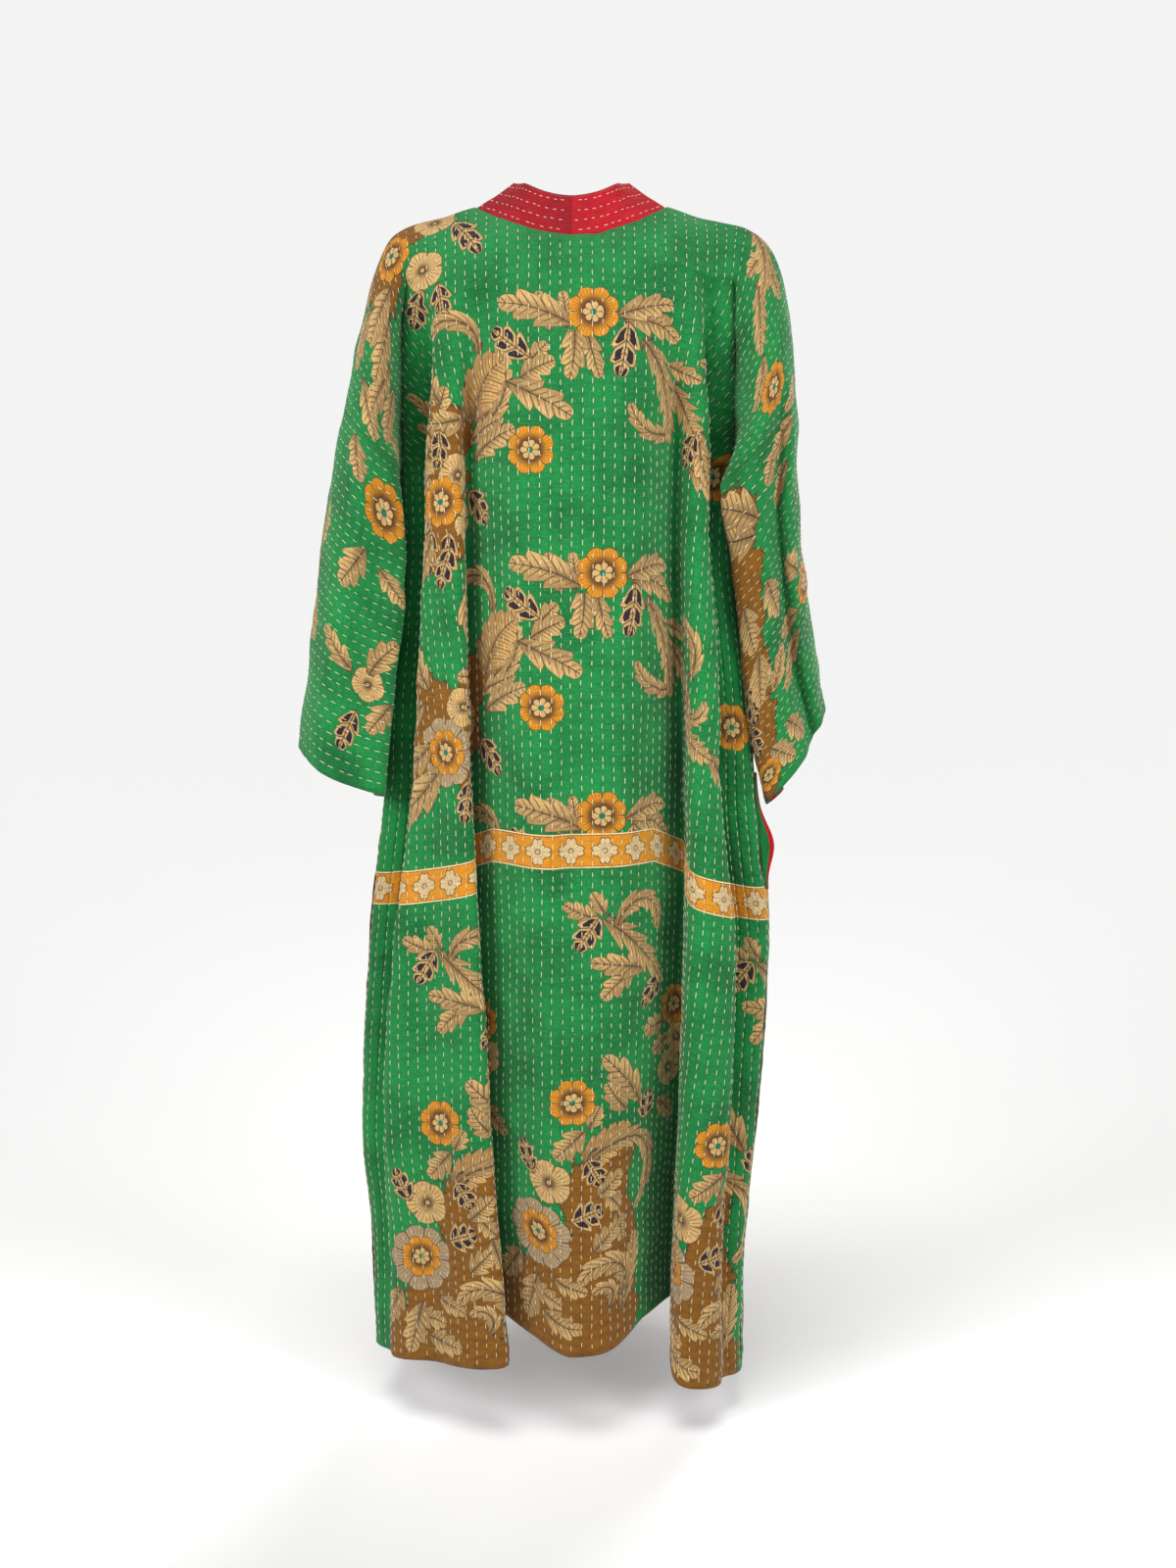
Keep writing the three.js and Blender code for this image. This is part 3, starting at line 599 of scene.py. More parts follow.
RIGHT_SLEEVE = [
    ("leaf", 440, 150, 404, 206, 15, -20), ("leaf", 448, 158, 430, 214, 14, 0),
    ("bloom", 585, 54, 25), ("leaf", 503, 150, 560, 134, 13, 0), ("leaf", 621, 82, 655, 142, 15, 0),
    ("leaf", 505, 188, 570, 178, 14, 0), ("leaf", 575, 172, 640, 180, 14, 0),
    ("window", 601, 196, 655, 190, 13, 0), ("bloom", 731, 190, 20),
    ("window", 650, 200, 700, 196, 13, 0), ("leaf", 391, 74, 405, 118, 13, 20),
    ("leaf", 427, 84, 443, 120, 12, 20), ("leaf", 400, 110, 424, 132, 11, 0),
    ("leaf", 560, 70, 520, 96, 13, 0), ("leaf", 600, 80, 590, 130, 13, 0),
    ("window", 560, 50, 530, 20, 14, 0), ("leaf", 690, 150, 740, 120, 13, 0),
    ("leaf", 700, 180, 745, 150, 12, 0), ("pansy", 610, 176, 20),
    ("leaf", 640, 160, 600, 130, 12, 0), ("bloom", 470, -120, 26),
    ("leaf", 490, -110, 550, -70, 14, 10), ("window", 460, -140, 430, -180, 14, 0),
    ("bloom", 680, -110, 27), ("leaf", 660, -120, 600, -150, 14, 0),
    ("leaf", 500, 20, 440, 10, 14, 0),
]
RIGHT_SLEEVE_GROUND = [
    (430, 190, 36, 40), (480, 196, 46, 44), (540, 196, 50, 40), (600, 190, 50, 34),
    (660, 190, 44, 30), (720, 196, 40, 30),
]


def moved(rows, across, down):
    """A list of motifs or ground patches, moved over the cloth."""
    placed = []
    for row in rows:
        if isinstance(row[0], str) and len(row) == 7:
            kind, x0, y0, x1, y1, width, bend = row
            placed.append((kind, x0 + across, y0 + down, x1 + across, y1 + down, width, bend))
        elif isinstance(row[0], str):
            placed.append((row[0], row[1] + across, row[2] + down, row[3]))
        else:
            placed.append((row[0] + across, row[1] + down, row[2], row[3]))
    return placed


def copies(rows, *shifts):
    return [row for across, down in shifts for row in moved(rows, across, down)]


UPPER_COPIES = ((0, 0), (10, 270), (10, 530))
SPRAY_COPIES = ((0, 0), (-276, 20), (334, 16))
HEM_COPIES = ((0, 0), (-242, 10), (282, 12))
BORDER_AT = 714.0
BORDER_SAG = 22.0
BORDER_SAG_FROM, BORDER_SAG_TO = 60.0, 300.0
BORDER_HALF = 19.0
BORDER_REPEAT = 37.0
BORDER_START = 4015.0


def border_place(x, y):
    """Signed distance below the middle of the printed border."""
    return y - BORDER_AT - BORDER_SAG * smooth(BORDER_SAG_FROM, BORDER_SAG_TO, np.abs(x))


def bent(points, row):
    """Where points lie along a bent leaf, from 0 to 1, and across it, in half widths."""
    _, x0, y0, x1, y1, width, bend = row
    chord = math.hypot(x1 - x0, y1 - y0)
    heading = math.atan2(y1 - y0, x1 - x0)
    turn = math.radians(bend)
    if abs(bend) < 2:
        dx, dy = points[..., 0] - x0, points[..., 1] - y0
        along = (dx * math.cos(heading) + dy * math.sin(heading)) / chord
        return along, (-dx * math.sin(heading) + dy * math.cos(heading)) / width
    radius = chord / (2 * math.sin(turn / 2))
    start = heading - turn / 2
    cx, cy = x0 - radius * math.sin(start), y0 + radius * math.cos(start)
    dx, dy = points[..., 0] - cx, points[..., 1] - cy
    swept = np.arctan2(dy, dx) - (start - math.copysign(math.pi / 2, radius))
    swept = (swept - turn / 2 + math.pi) % (2 * math.pi) - math.pi + turn / 2
    return swept / turn, (abs(radius) - np.hypot(dx, dy)) * math.copysign(1, radius) / width


def place_motif(points, row):
    """A motif's own coordinates at the corners of faces, and which faces it touches."""
    family = KINDS[row[0]][0]
    if row[0] in WIDER:
        row = (*row[:5], row[5] * WIDER[row[0]], row[6])
    if family == 2:
        local = (points - np.array(row[1:3])) / row[3]
        reach = np.hypot(local[..., 0], local[..., 1])
        return local, (reach.min(axis=1) < 1.02) & (reach.max(axis=1) < 1.9), row[3]
    along, across = bent(points, row)
    near = (np.abs(across) < 1.02) & (along > -0.02) & (along < 1.02)
    whole = (np.ptp(along, axis=1) < 0.6) & (np.ptp(across, axis=1) < 2.5)
    return np.stack([along, across], axis=2), near.any(axis=1) & whole, row[5]


def print_on(points, motifs):
    """Shares the motifs out over the faces: up to three on each, the first listed on top."""
    count = len(points)
    place = np.zeros((SLOTS, count, 4, 3), np.float32)
    look = np.zeros((SLOTS, count, 4, 3), np.float32)
    finish = np.zeros((SLOTS, count, 4, 3), np.float32)
    used = np.zeros(count, int)
    for row, low, high in motifs:
        local, touched, scale = place_motif(points, row)
        middle = points.mean(axis=1)
        below = border_place(middle[:, 0], middle[:, 1])
        touched = touched & (below > low) & (below < high) & (used < SLOTS)
        family, lobes, depth, tone, windows, eye = KINDS[row[0]]
        for slot in range(SLOTS):
            faces = np.where(touched & (used == slot))[0]
            place[slot, faces, :, :2] = local[faces]
            place[slot, faces, :, 2] = scale
            look[slot, faces] = (family, lobes, depth)
            finish[slot, faces] = (tone, windows, eye)
        used[touched] += 1
    return place, look, finish


def ground_on(points, patches):
    """Millimetres inside the edge of the brown ground, below 0 outside it."""
    inside = np.full(points.shape[:-1], -40.0)
    for x, y, across, down, low, high in patches:
        reach = np.hypot((points[..., 0] - x) / across, (points[..., 1] - y) / down)
        below = border_place(points[..., 0], points[..., 1])
        depth = (1 - reach) * min(across, down)
        inside = np.maximum(inside, np.where((below > low) & (below < high), depth, -40.0))
    return inside


ABOVE, UNDER = (-2000, 0), (0, 2000)


def within(rows, limits):
    return [(row, *limits) for row in rows]


def patches_within(rows, limits):
    return [(*row, *limits) for row in rows]


BACK_PRINT = (
    within(SIDE_SPRAY + copies(UPPER_SPRAY, *UPPER_COPIES), ABOVE)
    + within(SHOULDER_SPRAY + RIGHT_WING, ABOVE)
    + within(copies(LOWER_SPRAY, *SPRAY_COPIES), UNDER)
    + within(copies(HEM_SPRAY, *HEM_COPIES), UNDER)
)
BACK_GROUND = (
    patches_within(copies(UPPER_GROUND, *UPPER_COPIES) + SIDE_GROUND + SHOULDER_GROUND, ABOVE)
    + patches_within(copies(HEM_GROUND, *HEM_COPIES), UNDER)
)
SLEEVE_PRINT = within(LEFT_SLEEVE + RIGHT_SLEEVE, (-2000, 2000))
SLEEVE_GROUND = patches_within(RIGHT_SLEEVE_GROUND, (-2000, 2000))


def grid(name, wide, long):
    """A flat grid of faces, one unit on a side."""
    mesh = bpy.data.meshes.new(name)
    built = bmesh.new()
    bmesh.ops.create_grid(built, x_segments=wide, y_segments=long, size=0.5)
    built.to_mesh(mesh)
    built.free()
    obj = bpy.data.objects.new(name, mesh)
    bpy.context.scene.collection.objects.link(obj)
    return obj


def read_points(mesh):
    co = np.empty(len(mesh.vertices) * 3, np.float32)
    mesh.vertices.foreach_get("co", co)
    return co.reshape(-1, 3).astype(float)


def write_points(mesh, points_mm):
    mesh.vertices.foreach_set("co", (points_mm / 1000).astype(np.float32).ravel())
    mesh.update()


def corner_vertices(mesh):
    order = np.empty(len(mesh.loops), np.int32)
    mesh.loops.foreach_get("vertex_index", order)
    return order


def corner_vectors(mesh, name, values):
    layer = mesh.attributes.new(name, "FLOAT_VECTOR", "CORNER")
    layer.data.foreach_set("vector", values.astype(np.float32).ravel())


def write_map(mesh, across, down):
    layer = mesh.uv_layers.new(name="cloth")
    order = corner_vertices(mesh)
    places = np.stack([across[order], down[order]], axis=1)
    layer.data.foreach_set("uv", places.astype(np.float32).ravel())


def smooth_all(mesh):
    mesh.polygons.foreach_set("use_smooth", [True] * len(mesh.polygons))


def thicken(obj, thickness):
    shell = obj.modifiers.new("cloth thickness", "SOLIDIFY")
    shell.thickness = thickness / 1000
    shell.offset = -1
    shell.use_even_offset = False
    shell.material_offset = 1
    shell.material_offset_rim = 1


def facing_out(mesh, outward):
    """Turns the faces over if they look inward."""
    order = corner_vertices(mesh)
    normals = np.empty(len(mesh.polygons) * 3, np.float32)
    mesh.polygons.foreach_get("normal", normals)
    starts = np.empty(len(mesh.polygons), np.int32)
    mesh.polygons.foreach_get("loop_start", starts)
    if (normals.reshape(-1, 3) * outward[order[starts]]).sum() < 0:
        mesh.flip_normals()
        mesh.update()


def panel(name, place, wide, long, flip, motifs, patches, materials, joined=False):
    """One printed panel: a grid laid over its part of the flat cloth and hung."""
    obj = grid(name, wide, long)
    mesh = obj.data
    flat = read_points(mesh)
    s, t = place(flat[:, 0] + 0.5, flat[:, 1] + 0.5)
    points, outward = hung(s, t)
    write_points(mesh, points)
    facing_out(mesh, outward)
    across, down = (s, -t) if flip else (-s, t)
    order = corner_vertices(mesh)
    corners = np.stack([across, down], axis=1)[order].reshape(-1, 4, 2)
    write_map(mesh, across, down)
    place_at, look, finish = print_on(corners, motifs)
    for slot in range(SLOTS):
        corner_vectors(mesh, f"place_{slot}", place_at[slot])
        corner_vectors(mesh, f"look_{slot}", look[slot])
        corner_vectors(mesh, f"finish_{slot}", finish[slot])
    layer = mesh.attributes.new("ground", "FLOAT", "POINT")
    inside = ground_on(np.stack([across, down], axis=1), patches)
    layer.data.foreach_set("value", inside.astype(np.float32))
    if joined:
        built = bmesh.new()
        built.from_mesh(mesh)
        bmesh.ops.remove_doubles(built, verts=built.verts, dist=1e-5)
        built.to_mesh(mesh)
        built.free()
    smooth_all(mesh)
    for material in materials:
        mesh.materials.append(material)
    thicken(obj, CLOTH)
    return obj


def spindles(name, count, material):
    """Many copies of one small spindle, made by doubling. Each keeps its own shape until it is laid."""
    mesh = bpy.data.meshes.new(name)
    built = bmesh.new()
    number = built.verts.layers.int.new("number")
    bmesh.ops.create_uvsphere(built, u_segments=4, v_segments=3, radius=1)
    made = 1
    while made < count:
        more = min(made, count - made)
        chosen = [face for face in built.faces if face.verts[0][number] < more]
        for part in bmesh.ops.duplicate(built, geom=chosen)["geom"]:
            if isinstance(part, bmesh.types.BMVert):
                part[number] += made
        made += more
    built.to_mesh(mesh)
    built.free()
    numbers = np.empty(len(mesh.vertices), np.int32)
    mesh.attributes["number"].data.foreach_get("value", numbers)
    smooth_all(mesh)
    mesh.materials.append(material)
    obj = bpy.data.objects.new(name, mesh)
    bpy.context.scene.collection.objects.link(obj)
    return obj, numbers


def sew(name, surface, rows, material, length=STITCH_LENGTH, step=STITCH_STEP):
    """Running stitches over a surface. Rows give across, from and to."""
    chance = np.random.default_rng(len(name) * 7 + len(rows))
    across, middle = [], []
    for at, start, end in rows:
        first = start + 3 + step * chance.random()
        places = np.arange(first, end - length * 0.6, step)
        across.append(np.full(len(places), at))
        middle.append(places + chance.normal(0, 0.8, len(places)))
    across, middle = np.concatenate(across), np.concatenate(middle)
    drift = 1.3 * lumps(across * 3.1, middle, 90, 9) + chance.normal(0, 0.22, len(across))
    half = length / 2 * chance.uniform(0.8, 1.15, len(across))
    slant = chance.normal(0, 0.05, len(across))
    obj, one = spindles(name, len(across), material)
    shape = read_points(obj.data)
    down = middle[one] + shape[:, 2] * half[one]
    side = across[one] + drift[one] + shape[:, 2] * half[one] * slant[one]
    points, outward = surface(side + shape[:, 0] * THREAD_WIDTH, down)
    height = 0.12 + shape[:, 1] * THREAD_HEIGHT - 0.35 * np.abs(shape[:, 2]) ** 3
    write_points(obj.data, points + outward * height[:, None])
    return obj


# How the neckband leans away from its seam: length along the seam, then a direction for the wearer's left
BAND_LEAN = {
    "along": [0, 62, 118, 170, 260, 420, 1500],
    "x": [0, -0.3, -0.8, -0.88, -0.97, -1, -1],
    "y": [-0.5, -0.42, -0.2, 0.1, -0.12, -0.06, -0.03],
    "z": [0.86, 0.85, 0.56, 0.46, 0.2, 0.04, 0],
}
BAND_ROWS = (7, 18.5, 30, 41.5)
BAND_LAP = 1.6
BAND_STITCH = (5.4, 9.6)


def band_surface(side):
    """The neckband from its seam outward, and its length: reach across it, and how far along the seam."""
    sign = 1 if side == "left" else -1
    neck = np.linspace(0, NECK_HALF, 40)
    edge = np.arange(4, ROBE_LENGTH + 1, 4.0)
    s = sign * np.concatenate([neck, front_edge(edge)])
    t = np.concatenate([back_neck(neck), -edge])
    half = cloth_at(s, t)
    mirrored = half[1:12][::-1] * np.array([-1, 1, 1])
    line = np.concatenate([mirrored, half])
    run = lengths_of(line[None])[0]
    run -= run[len(mirrored)]

    def on_line(along):
        return np.stack([np.interp(along, run, line[:, k]) for k in range(3)], axis=-1)

    def surface(reach, along):
        along = np.clip(along, 0, run[-1])
        lean = np.stack([read(BAND_LEAN["along"], BAND_LEAN[k], along) for k in "xyz"], axis=-1)
        lean[..., 0] *= sign
        lean /= np.linalg.norm(lean, axis=-1, keepdims=True)
        tangent = on_line(along + 30) - on_line(along - 30)
        outward = -sign * np.cross(tangent, lean)
        outward /= np.maximum(np.linalg.norm(outward, axis=-1, keepdims=True), 1e-9)
        rise = BAND / 2 + 0.9 * lumps(along, reach * 0.5, 38, 5) + 0.5 * lumps(along, reach, 14, 6)
        stands = mix(-BAND_LAP, BAND_WIDTH + 1.8, reach / BAND_WIDTH)
        return on_line(along) + lean * stands[..., None] + outward * rise[..., None], outward

    return surface, run[-1]


def shape_strip(mesh, points, outward, across, down, materials):
    """Turns a flat grid into a strip of cloth that faces outward, with its map and materials."""
    write_points(mesh, points)
    facing_out(mesh, outward)
    write_map(mesh, across, down)
    smooth_all(mesh)
    for material in materials:
        mesh.materials.append(material)


def band(side, materials):
    surface, length = band_surface(side)
    obj = grid(f"neckband_{side}_cloth", 12, int(length / 5))
    flat = read_points(obj.data)
    reach, along = (flat[:, 0] + 0.5) * BAND_WIDTH, (flat[:, 1] + 0.5) * length
    shape_strip(obj.data, *surface(reach, along), reach, along, materials)
    thicken(obj, BAND)
    return obj, length


def binding_surface(reach, down):
    """The strip that binds the pocket mouth, standing out from the right side seam."""
    seam = cloth_at(np.full(down.shape, -HALF_CUT), down)
    outward = seam * np.array([1, 0.6, 0])
    outward /= np.linalg.norm(outward, axis=-1, keepdims=True)
    across = np.stack([-outward[..., 1], outward[..., 0], 0 * outward[..., 0]], axis=-1)
    stands = mix(3, POCKET_REACH, bell((down - POCKET_GAPES_AT) / 30))
    ripple = 0.3 * lumps(down, 0 * down, 9, 8)
    return seam + outward * (1.8 + stands * reach)[..., None] + across * (0.9 + ripple)[..., None], across


def binding(materials):
    obj = grid("pocket_binding_cloth", 6, 40)
    flat = read_points(obj.data)
    reach, down = flat[:, 0] + 0.5, POCKET_TOP + (flat[:, 1] + 0.5) * POCKET_LENGTH
    shape_strip(obj.data, *binding_surface(reach, down), reach * POCKET_REACH, down, materials)
    for face in obj.data.polygons:
        face.material_index = 0 if reach[face.vertices[0]] + reach[face.vertices[2]] > 1.2 else 1
    thicken(obj, CLOTH)
    obj.modifiers["cloth thickness"].material_offset = 0
    obj.modifiers["cloth thickness"].material_offset_rim = 0
    return obj


def linear(red, green, blue):
    """A colour as screens show it, from 0 to 255, as light."""
    shares = [part / 255 for part in (red, green, blue)]
    light = [((c + 0.055) / 1.055) ** 2.4 if c > 0.04 else c / 12.92 for c in shares]
    return (*light, 1)


GREEN = linear(18, 130, 61)
DEEP_GREEN = linear(7, 96, 44)
TAN = linear(200, 162, 102)
OCHRE = linear(205, 134, 26)
GREY_TAN = linear(166, 142, 106)
BROWN = linear(132, 84, 8)
SHADE = linear(66, 42, 24)
OUTLINE = linear(54, 38, 26)
PLUM = linear(40, 27, 38)
TEAL = linear(24, 110, 80)
CREAM = linear(238, 228, 194)
PALE_TAN = linear(208, 180, 132)
DARK_RED = linear(96, 12, 26)


class Nodes:
    """Short ways to write a material's nodes."""

    def __init__(self, tree):
        self.tree = tree

    def new(self, kind, **settings):
        node = self.tree.nodes.new(kind)
        for key, value in settings.items():
            setattr(node, key, value)
        return node

    def put(self, socket, value):
        if isinstance(value, bpy.types.NodeSocket):
            self.tree.links.new(value, socket)
        else:
            socket.default_value = value

    def math(self, operation, a, b=None, c=None):
        node = self.new("ShaderNodeMath", operation=operation)
        for socket, value in zip(node.inputs, (a, b, c)):
            if value is not None:
                self.put(socket, value)
        return node.outputs[0]

    def add(self, a, b):
        return self.math("ADD", a, b)

    def take(self, a, b):
        return self.math("SUBTRACT", a, b)

    def times(self, a, b):
        return self.math("MULTIPLY", a, b)

    def split(self, vector):
        node = self.new("ShaderNodeSeparateXYZ")
        self.put(node.inputs[0], vector)
        return node.outputs

    def ramp(self, value, low, high, start=0.0, end=1.0):
        """A smooth change from start to end while value goes from low to high."""
        node = self.new("ShaderNodeMapRange", interpolation_type="SMOOTHSTEP")
        self.put(node.inputs["Value"], value)
        node.inputs["From Min"].default_value = low
        node.inputs["From Max"].default_value = high
        node.inputs["To Min"].default_value = start
        node.inputs["To Max"].default_value = end
        return node.outputs["Result"]

    def wave(self, value):
        """The height, from 0 to 1, of a sine's half waves."""
        return self.math("ABSOLUTE", self.math("SINE", value))

    def tint(self, share, low, high):
        node = self.new("ShaderNodeMix", data_type="RGBA")
        self.put(node.inputs["Factor"], share)
        self.put(node.inputs[6], low)
        self.put(node.inputs[7], high)
        return node.outputs[2]

    def noise(self, vector, scale, detail=2.0, rough=0.5):
        node = self.new("ShaderNodeTexNoise")
        self.put(node.inputs["Vector"], vector)
        node.inputs["Scale"].default_value = scale
        node.inputs["Detail"].default_value = detail
        node.inputs["Roughness"].default_value = rough
        return node.outputs["Fac"]

    def attribute(self, name):
        return self.new("ShaderNodeAttribute", attribute_name=name, attribute_type="GEOMETRY")

    def stretched(self, vector, x, y):
        node = self.new("ShaderNodeVectorMath", operation="MULTIPLY")
        self.put(node.inputs[0], vector)
        node.inputs[1].default_value = (x, y, 1)
        return node.outputs[0]


def leaf_edge_at(n, x, side, lobes, depth, fullness):
    """A leaf's half width at x, cut into lobes that lean to its tip: edge, place in the lobes, swell."""
    hump = n.math("MAXIMUM", n.times(n.times(4.0, x), n.take(1.0, x)), 0.0)
    full = n.math("POWER", hump, fullness)
    phase = n.times(lobes, n.take(x, n.times(side, 0.24)))
    part = n.math("FRACT", n.add(phase, 8.0))
    rising = n.math("DIVIDE", part, 0.7)
    falling = n.math("DIVIDE", n.take(1.0, part), 0.3)
    swell = n.math("POWER", n.math("MINIMUM", rising, falling), 0.8)
    edge = n.times(full, n.add(n.take(1.0, depth), n.times(depth, swell)))
    return edge, phase, swell


def leaf_shade_at(n, x, y, side, edge, phase, swell, windows):
    """Dark veins out from the rib, notches between the lobes, and a darker foot."""
    strand = n.math("DIVIDE", side, n.math("MAXIMUM", edge, 0.08))
    veins = n.ramp(n.wave(n.times(phase, 3 * math.pi)), 0.12, 0.6, 1, 0)
    veins = n.times(veins, n.ramp(strand, 0.4, 1.0, 1.0, 0.3))
    veins = n.math("MAXIMUM", veins, n.ramp(swell, 0.05, 0.3, 1, 0))
    near_rib = n.times(n.ramp(side, 0.0, 0.5, 0.75, 0.0), n.ramp(x, 0.2, 0.9, 1.0, 0.3))
    shade = n.math("MAXIMUM", n.ramp(x, 0.0, 0.45, 0.7, 0.0), n.ramp(y, -0.55, 0.1, 0.45, 0.0))
    shade = n.math("MAXIMUM", shade, near_rib)
    shade = n.times(shade, n.take(1.0, n.times(windows, 0.7)))
    return n.math("MAXIMUM", n.times(veins, 0.9), shade)


def leaf_windows_at(n, x, side, edge, swell, windows):
    """The plum panes between a leaf's rib and its edge, one in each lobe."""
    pane = n.take(n.math("DIVIDE", side, n.math("MAXIMUM", edge, 0.05)), 0.46)
    in_pane = n.math("LESS_THAN", n.math("ABSOLUTE", pane), 0.25)
    in_pane = n.times(in_pane, n.math("GREATER_THAN", swell, 0.42))
    return n.times(n.times(in_pane, n.math("GREATER_THAN", x, 0.12)), windows)


def bloom_edge_at(n, angle, lobes, depth):
    """How far a bloom's petals reach at an angle: edge, place on the petal."""
    petal = n.wave(n.times(n.times(angle, lobes), 0.5))
    return n.add(n.take(1.0, depth), n.times(depth, n.math("POWER", petal, 0.6))), petal


def bloom_shade_at(n, reach, angle, lobes, petal, eye):
    """Dark rays from the middle, gaps between the petals, and a ring round the eye."""
    rays = n.ramp(n.wave(n.times(n.times(angle, lobes), 2.5)), 0.15, 0.6, 1, 0)
    rays = n.times(rays, n.ramp(reach, 0.4, 1.0, 1.0, 0.35))
    gap = n.times(n.ramp(petal, 0.05, 0.25, 1, 0), n.ramp(reach, 0.45, 0.7, 0, 0.8))
    ring = n.ramp(n.take(reach, eye), 0.0, 0.36, 0.95, 0.0)
    return n.math("MAXIMUM", n.math("MAXIMUM", n.times(rays, 0.85), ring), gap)


def eye_at(n, colour, reach, angle, eye, scale, is_bloom):
    """A bloom's frilled eye with its teal heart, laid on the colour, and the line round it."""
    edge = n.times(eye, n.add(0.78, n.times(0.22, n.wave(n.times(angle, 3.5)))))
    inside = n.times(n.take(edge, reach), scale)
    in_eye = n.times(n.math("GREATER_THAN", inside, 0.0), is_bloom)
    line = n.times(n.ramp(n.math("ABSOLUTE", inside), 0.35, 0.9, 1, 0), is_bloom)
    rays = n.times(n.ramp(n.wave(n.times(angle, 3.5)), 0.1, 0.45, 1, 0), 0.8)
    heart = n.times(n.take(n.times(eye, 0.3), reach), scale)
    in_heart = n.times(n.math("GREATER_THAN", heart, 0.0), n.math("GREATER_THAN", eye, 0.3))
    colour = n.tint(in_eye, colour, n.tint(rays, TAN, OUTLINE))
    return n.tint(n.times(in_heart, is_bloom), colour, TEAL), line


def motif_group():
    """The shape and colours of one printed motif, a leaf or a bloom, from its own coordinates."""
    tree = bpy.data.node_groups.new("printed motif", "ShaderNodeTree")
    for name in ("Place", "Look", "Finish"):
        tree.interface.new_socket(name, in_out="INPUT", socket_type="NodeSocketVector")
    tree.interface.new_socket("Colour", in_out="OUTPUT", socket_type="NodeSocketColor")
    tree.interface.new_socket("Cover", in_out="OUTPUT", socket_type="NodeSocketFloat")
    n = Nodes(tree)
    given = n.new("NodeGroupInput").outputs
    x, y, scale = n.split(given["Place"])
    family, lobes, depth = n.split(given["Look"])
    tone, windows, eye = n.split(given["Finish"])
    side = n.math("ABSOLUTE", y)
    is_bloom = n.math("GREATER_THAN", family, 1.5)
    is_leaf = n.take(1.0, is_bloom)

    leaf_edge, phase, swell = leaf_edge_at(n, x, side, lobes, depth, eye)
    leaf_shade = leaf_shade_at(n, x, y, side, leaf_edge, phase, swell, windows)
    in_pane = n.times(leaf_windows_at(n, x, side, leaf_edge, swell, windows), is_leaf)
    rib = n.times(n.ramp(n.times(side, scale), 0.35, 0.8, 1, 0), is_leaf)

    reach = n.math("SQRT", n.add(n.times(x, x), n.times(y, y)))
    angle = n.math("ARCTAN2", y, x)
    bloom_edge, petal = bloom_edge_at(n, angle, lobes, depth)
    bloom_shade = bloom_shade_at(n, reach, angle, lobes, petal, eye)

    leaf_inside = n.times(n.take(leaf_edge, side), scale)
    bloom_inside = n.times(n.take(bloom_edge, reach), scale)
    inside = n.math("MULTIPLY_ADD", is_bloom, n.take(bloom_inside, leaf_inside), leaf_inside)
    shade = n.math("MULTIPLY_ADD", is_bloom, n.take(bloom_shade, leaf_shade), leaf_shade)
    body = n.tint(n.ramp(tone, 0.0, 0.5), TAN, OCHRE)
    body = n.tint(n.ramp(tone, 0.5, 1.0), body, GREY_TAN)
    colour = n.tint(n.times(shade, 0.92), body, SHADE)
    colour = n.tint(in_pane, colour, PLUM)
    colour, eye_line = eye_at(n, colour, reach, angle, eye, scale, is_bloom)
    line = n.math("MAXIMUM", n.ramp(inside, 0.45, 1.15, 1, 0), n.math("MAXIMUM", rib, eye_line))
    colour = n.tint(n.times(line, 0.9), colour, OUTLINE)
    out = n.new("NodeGroupOutput")
    n.put(out.inputs["Colour"], colour)
    n.put(out.inputs["Cover"], n.times(n.ramp(inside, -0.15, 0.3), n.math("GREATER_THAN", family, 0.5)))
    return tree


def border_colours(n, across, below):
    """The ochre border with its row of four-petalled flowers, and its share of the cloth."""
    from_middle = n.math("ABSOLUTE", below)
    repeats = n.math("DIVIDE", n.add(across, BORDER_START), BORDER_REPEAT)
    along = n.times(n.take(n.math("FRACT", repeats), 0.5), BORDER_REPEAT)
    reach = n.math("SQRT", n.add(n.times(along, along), n.times(below, below)))
    angle = n.math("ARCTAN2", below, along)
    upright = n.wave(n.add(n.times(angle, 2.0), math.pi / 2))
    petals = n.add(6.4, n.times(9.2, n.math("POWER", upright, 0.8)))
    petals = n.take(petals, n.times(2.0, n.ramp(upright, 0.93, 1.0)))
    petals = n.add(petals, n.ramp(upright, 0.0, 0.3, 3.6, 0.0))
    inside = n.take(petals, reach)
    colour = n.tint(n.ramp(inside, 0.0, 0.5), OCHRE, PALE_TAN)
    line = n.ramp(n.math("ABSOLUTE", inside), 0.4, 1.1, 1, 0)
    spokes = n.ramp(n.wave(n.times(angle, 6.0)), 0.1, 0.4, 1, 0)
    spokes = n.times(spokes, n.ramp(reach, 2.0, 11.0, 0.9, 0.5))
    line = n.math("MAXIMUM", line, n.times(spokes, n.ramp(inside, 0.0, 0.8)))
    line = n.math("MAXIMUM", line, n.ramp(n.math("ABSOLUTE", n.take(reach, 2.6)), 0.4, 0.9, 1, 0))
    colour = n.tint(n.times(line, 0.8), colour, SHADE)
    edge = n.ramp(n.math("ABSOLUTE", n.take(from_middle, BORDER_HALF - 0.9)), 0.3, 0.7, 0.85, 0)
    colour = n.tint(edge, colour, CREAM)
    dark = n.ramp(n.math("ABSOLUTE", n.take(from_middle, BORDER_HALF - 2.1)), 0.2, 0.6, 0.8, 0)
    colour = n.tint(dark, colour, SHADE)
    return colour, n.ramp(from_middle, BORDER_HALF - 0.3, BORDER_HALF + 0.3, 1, 0)


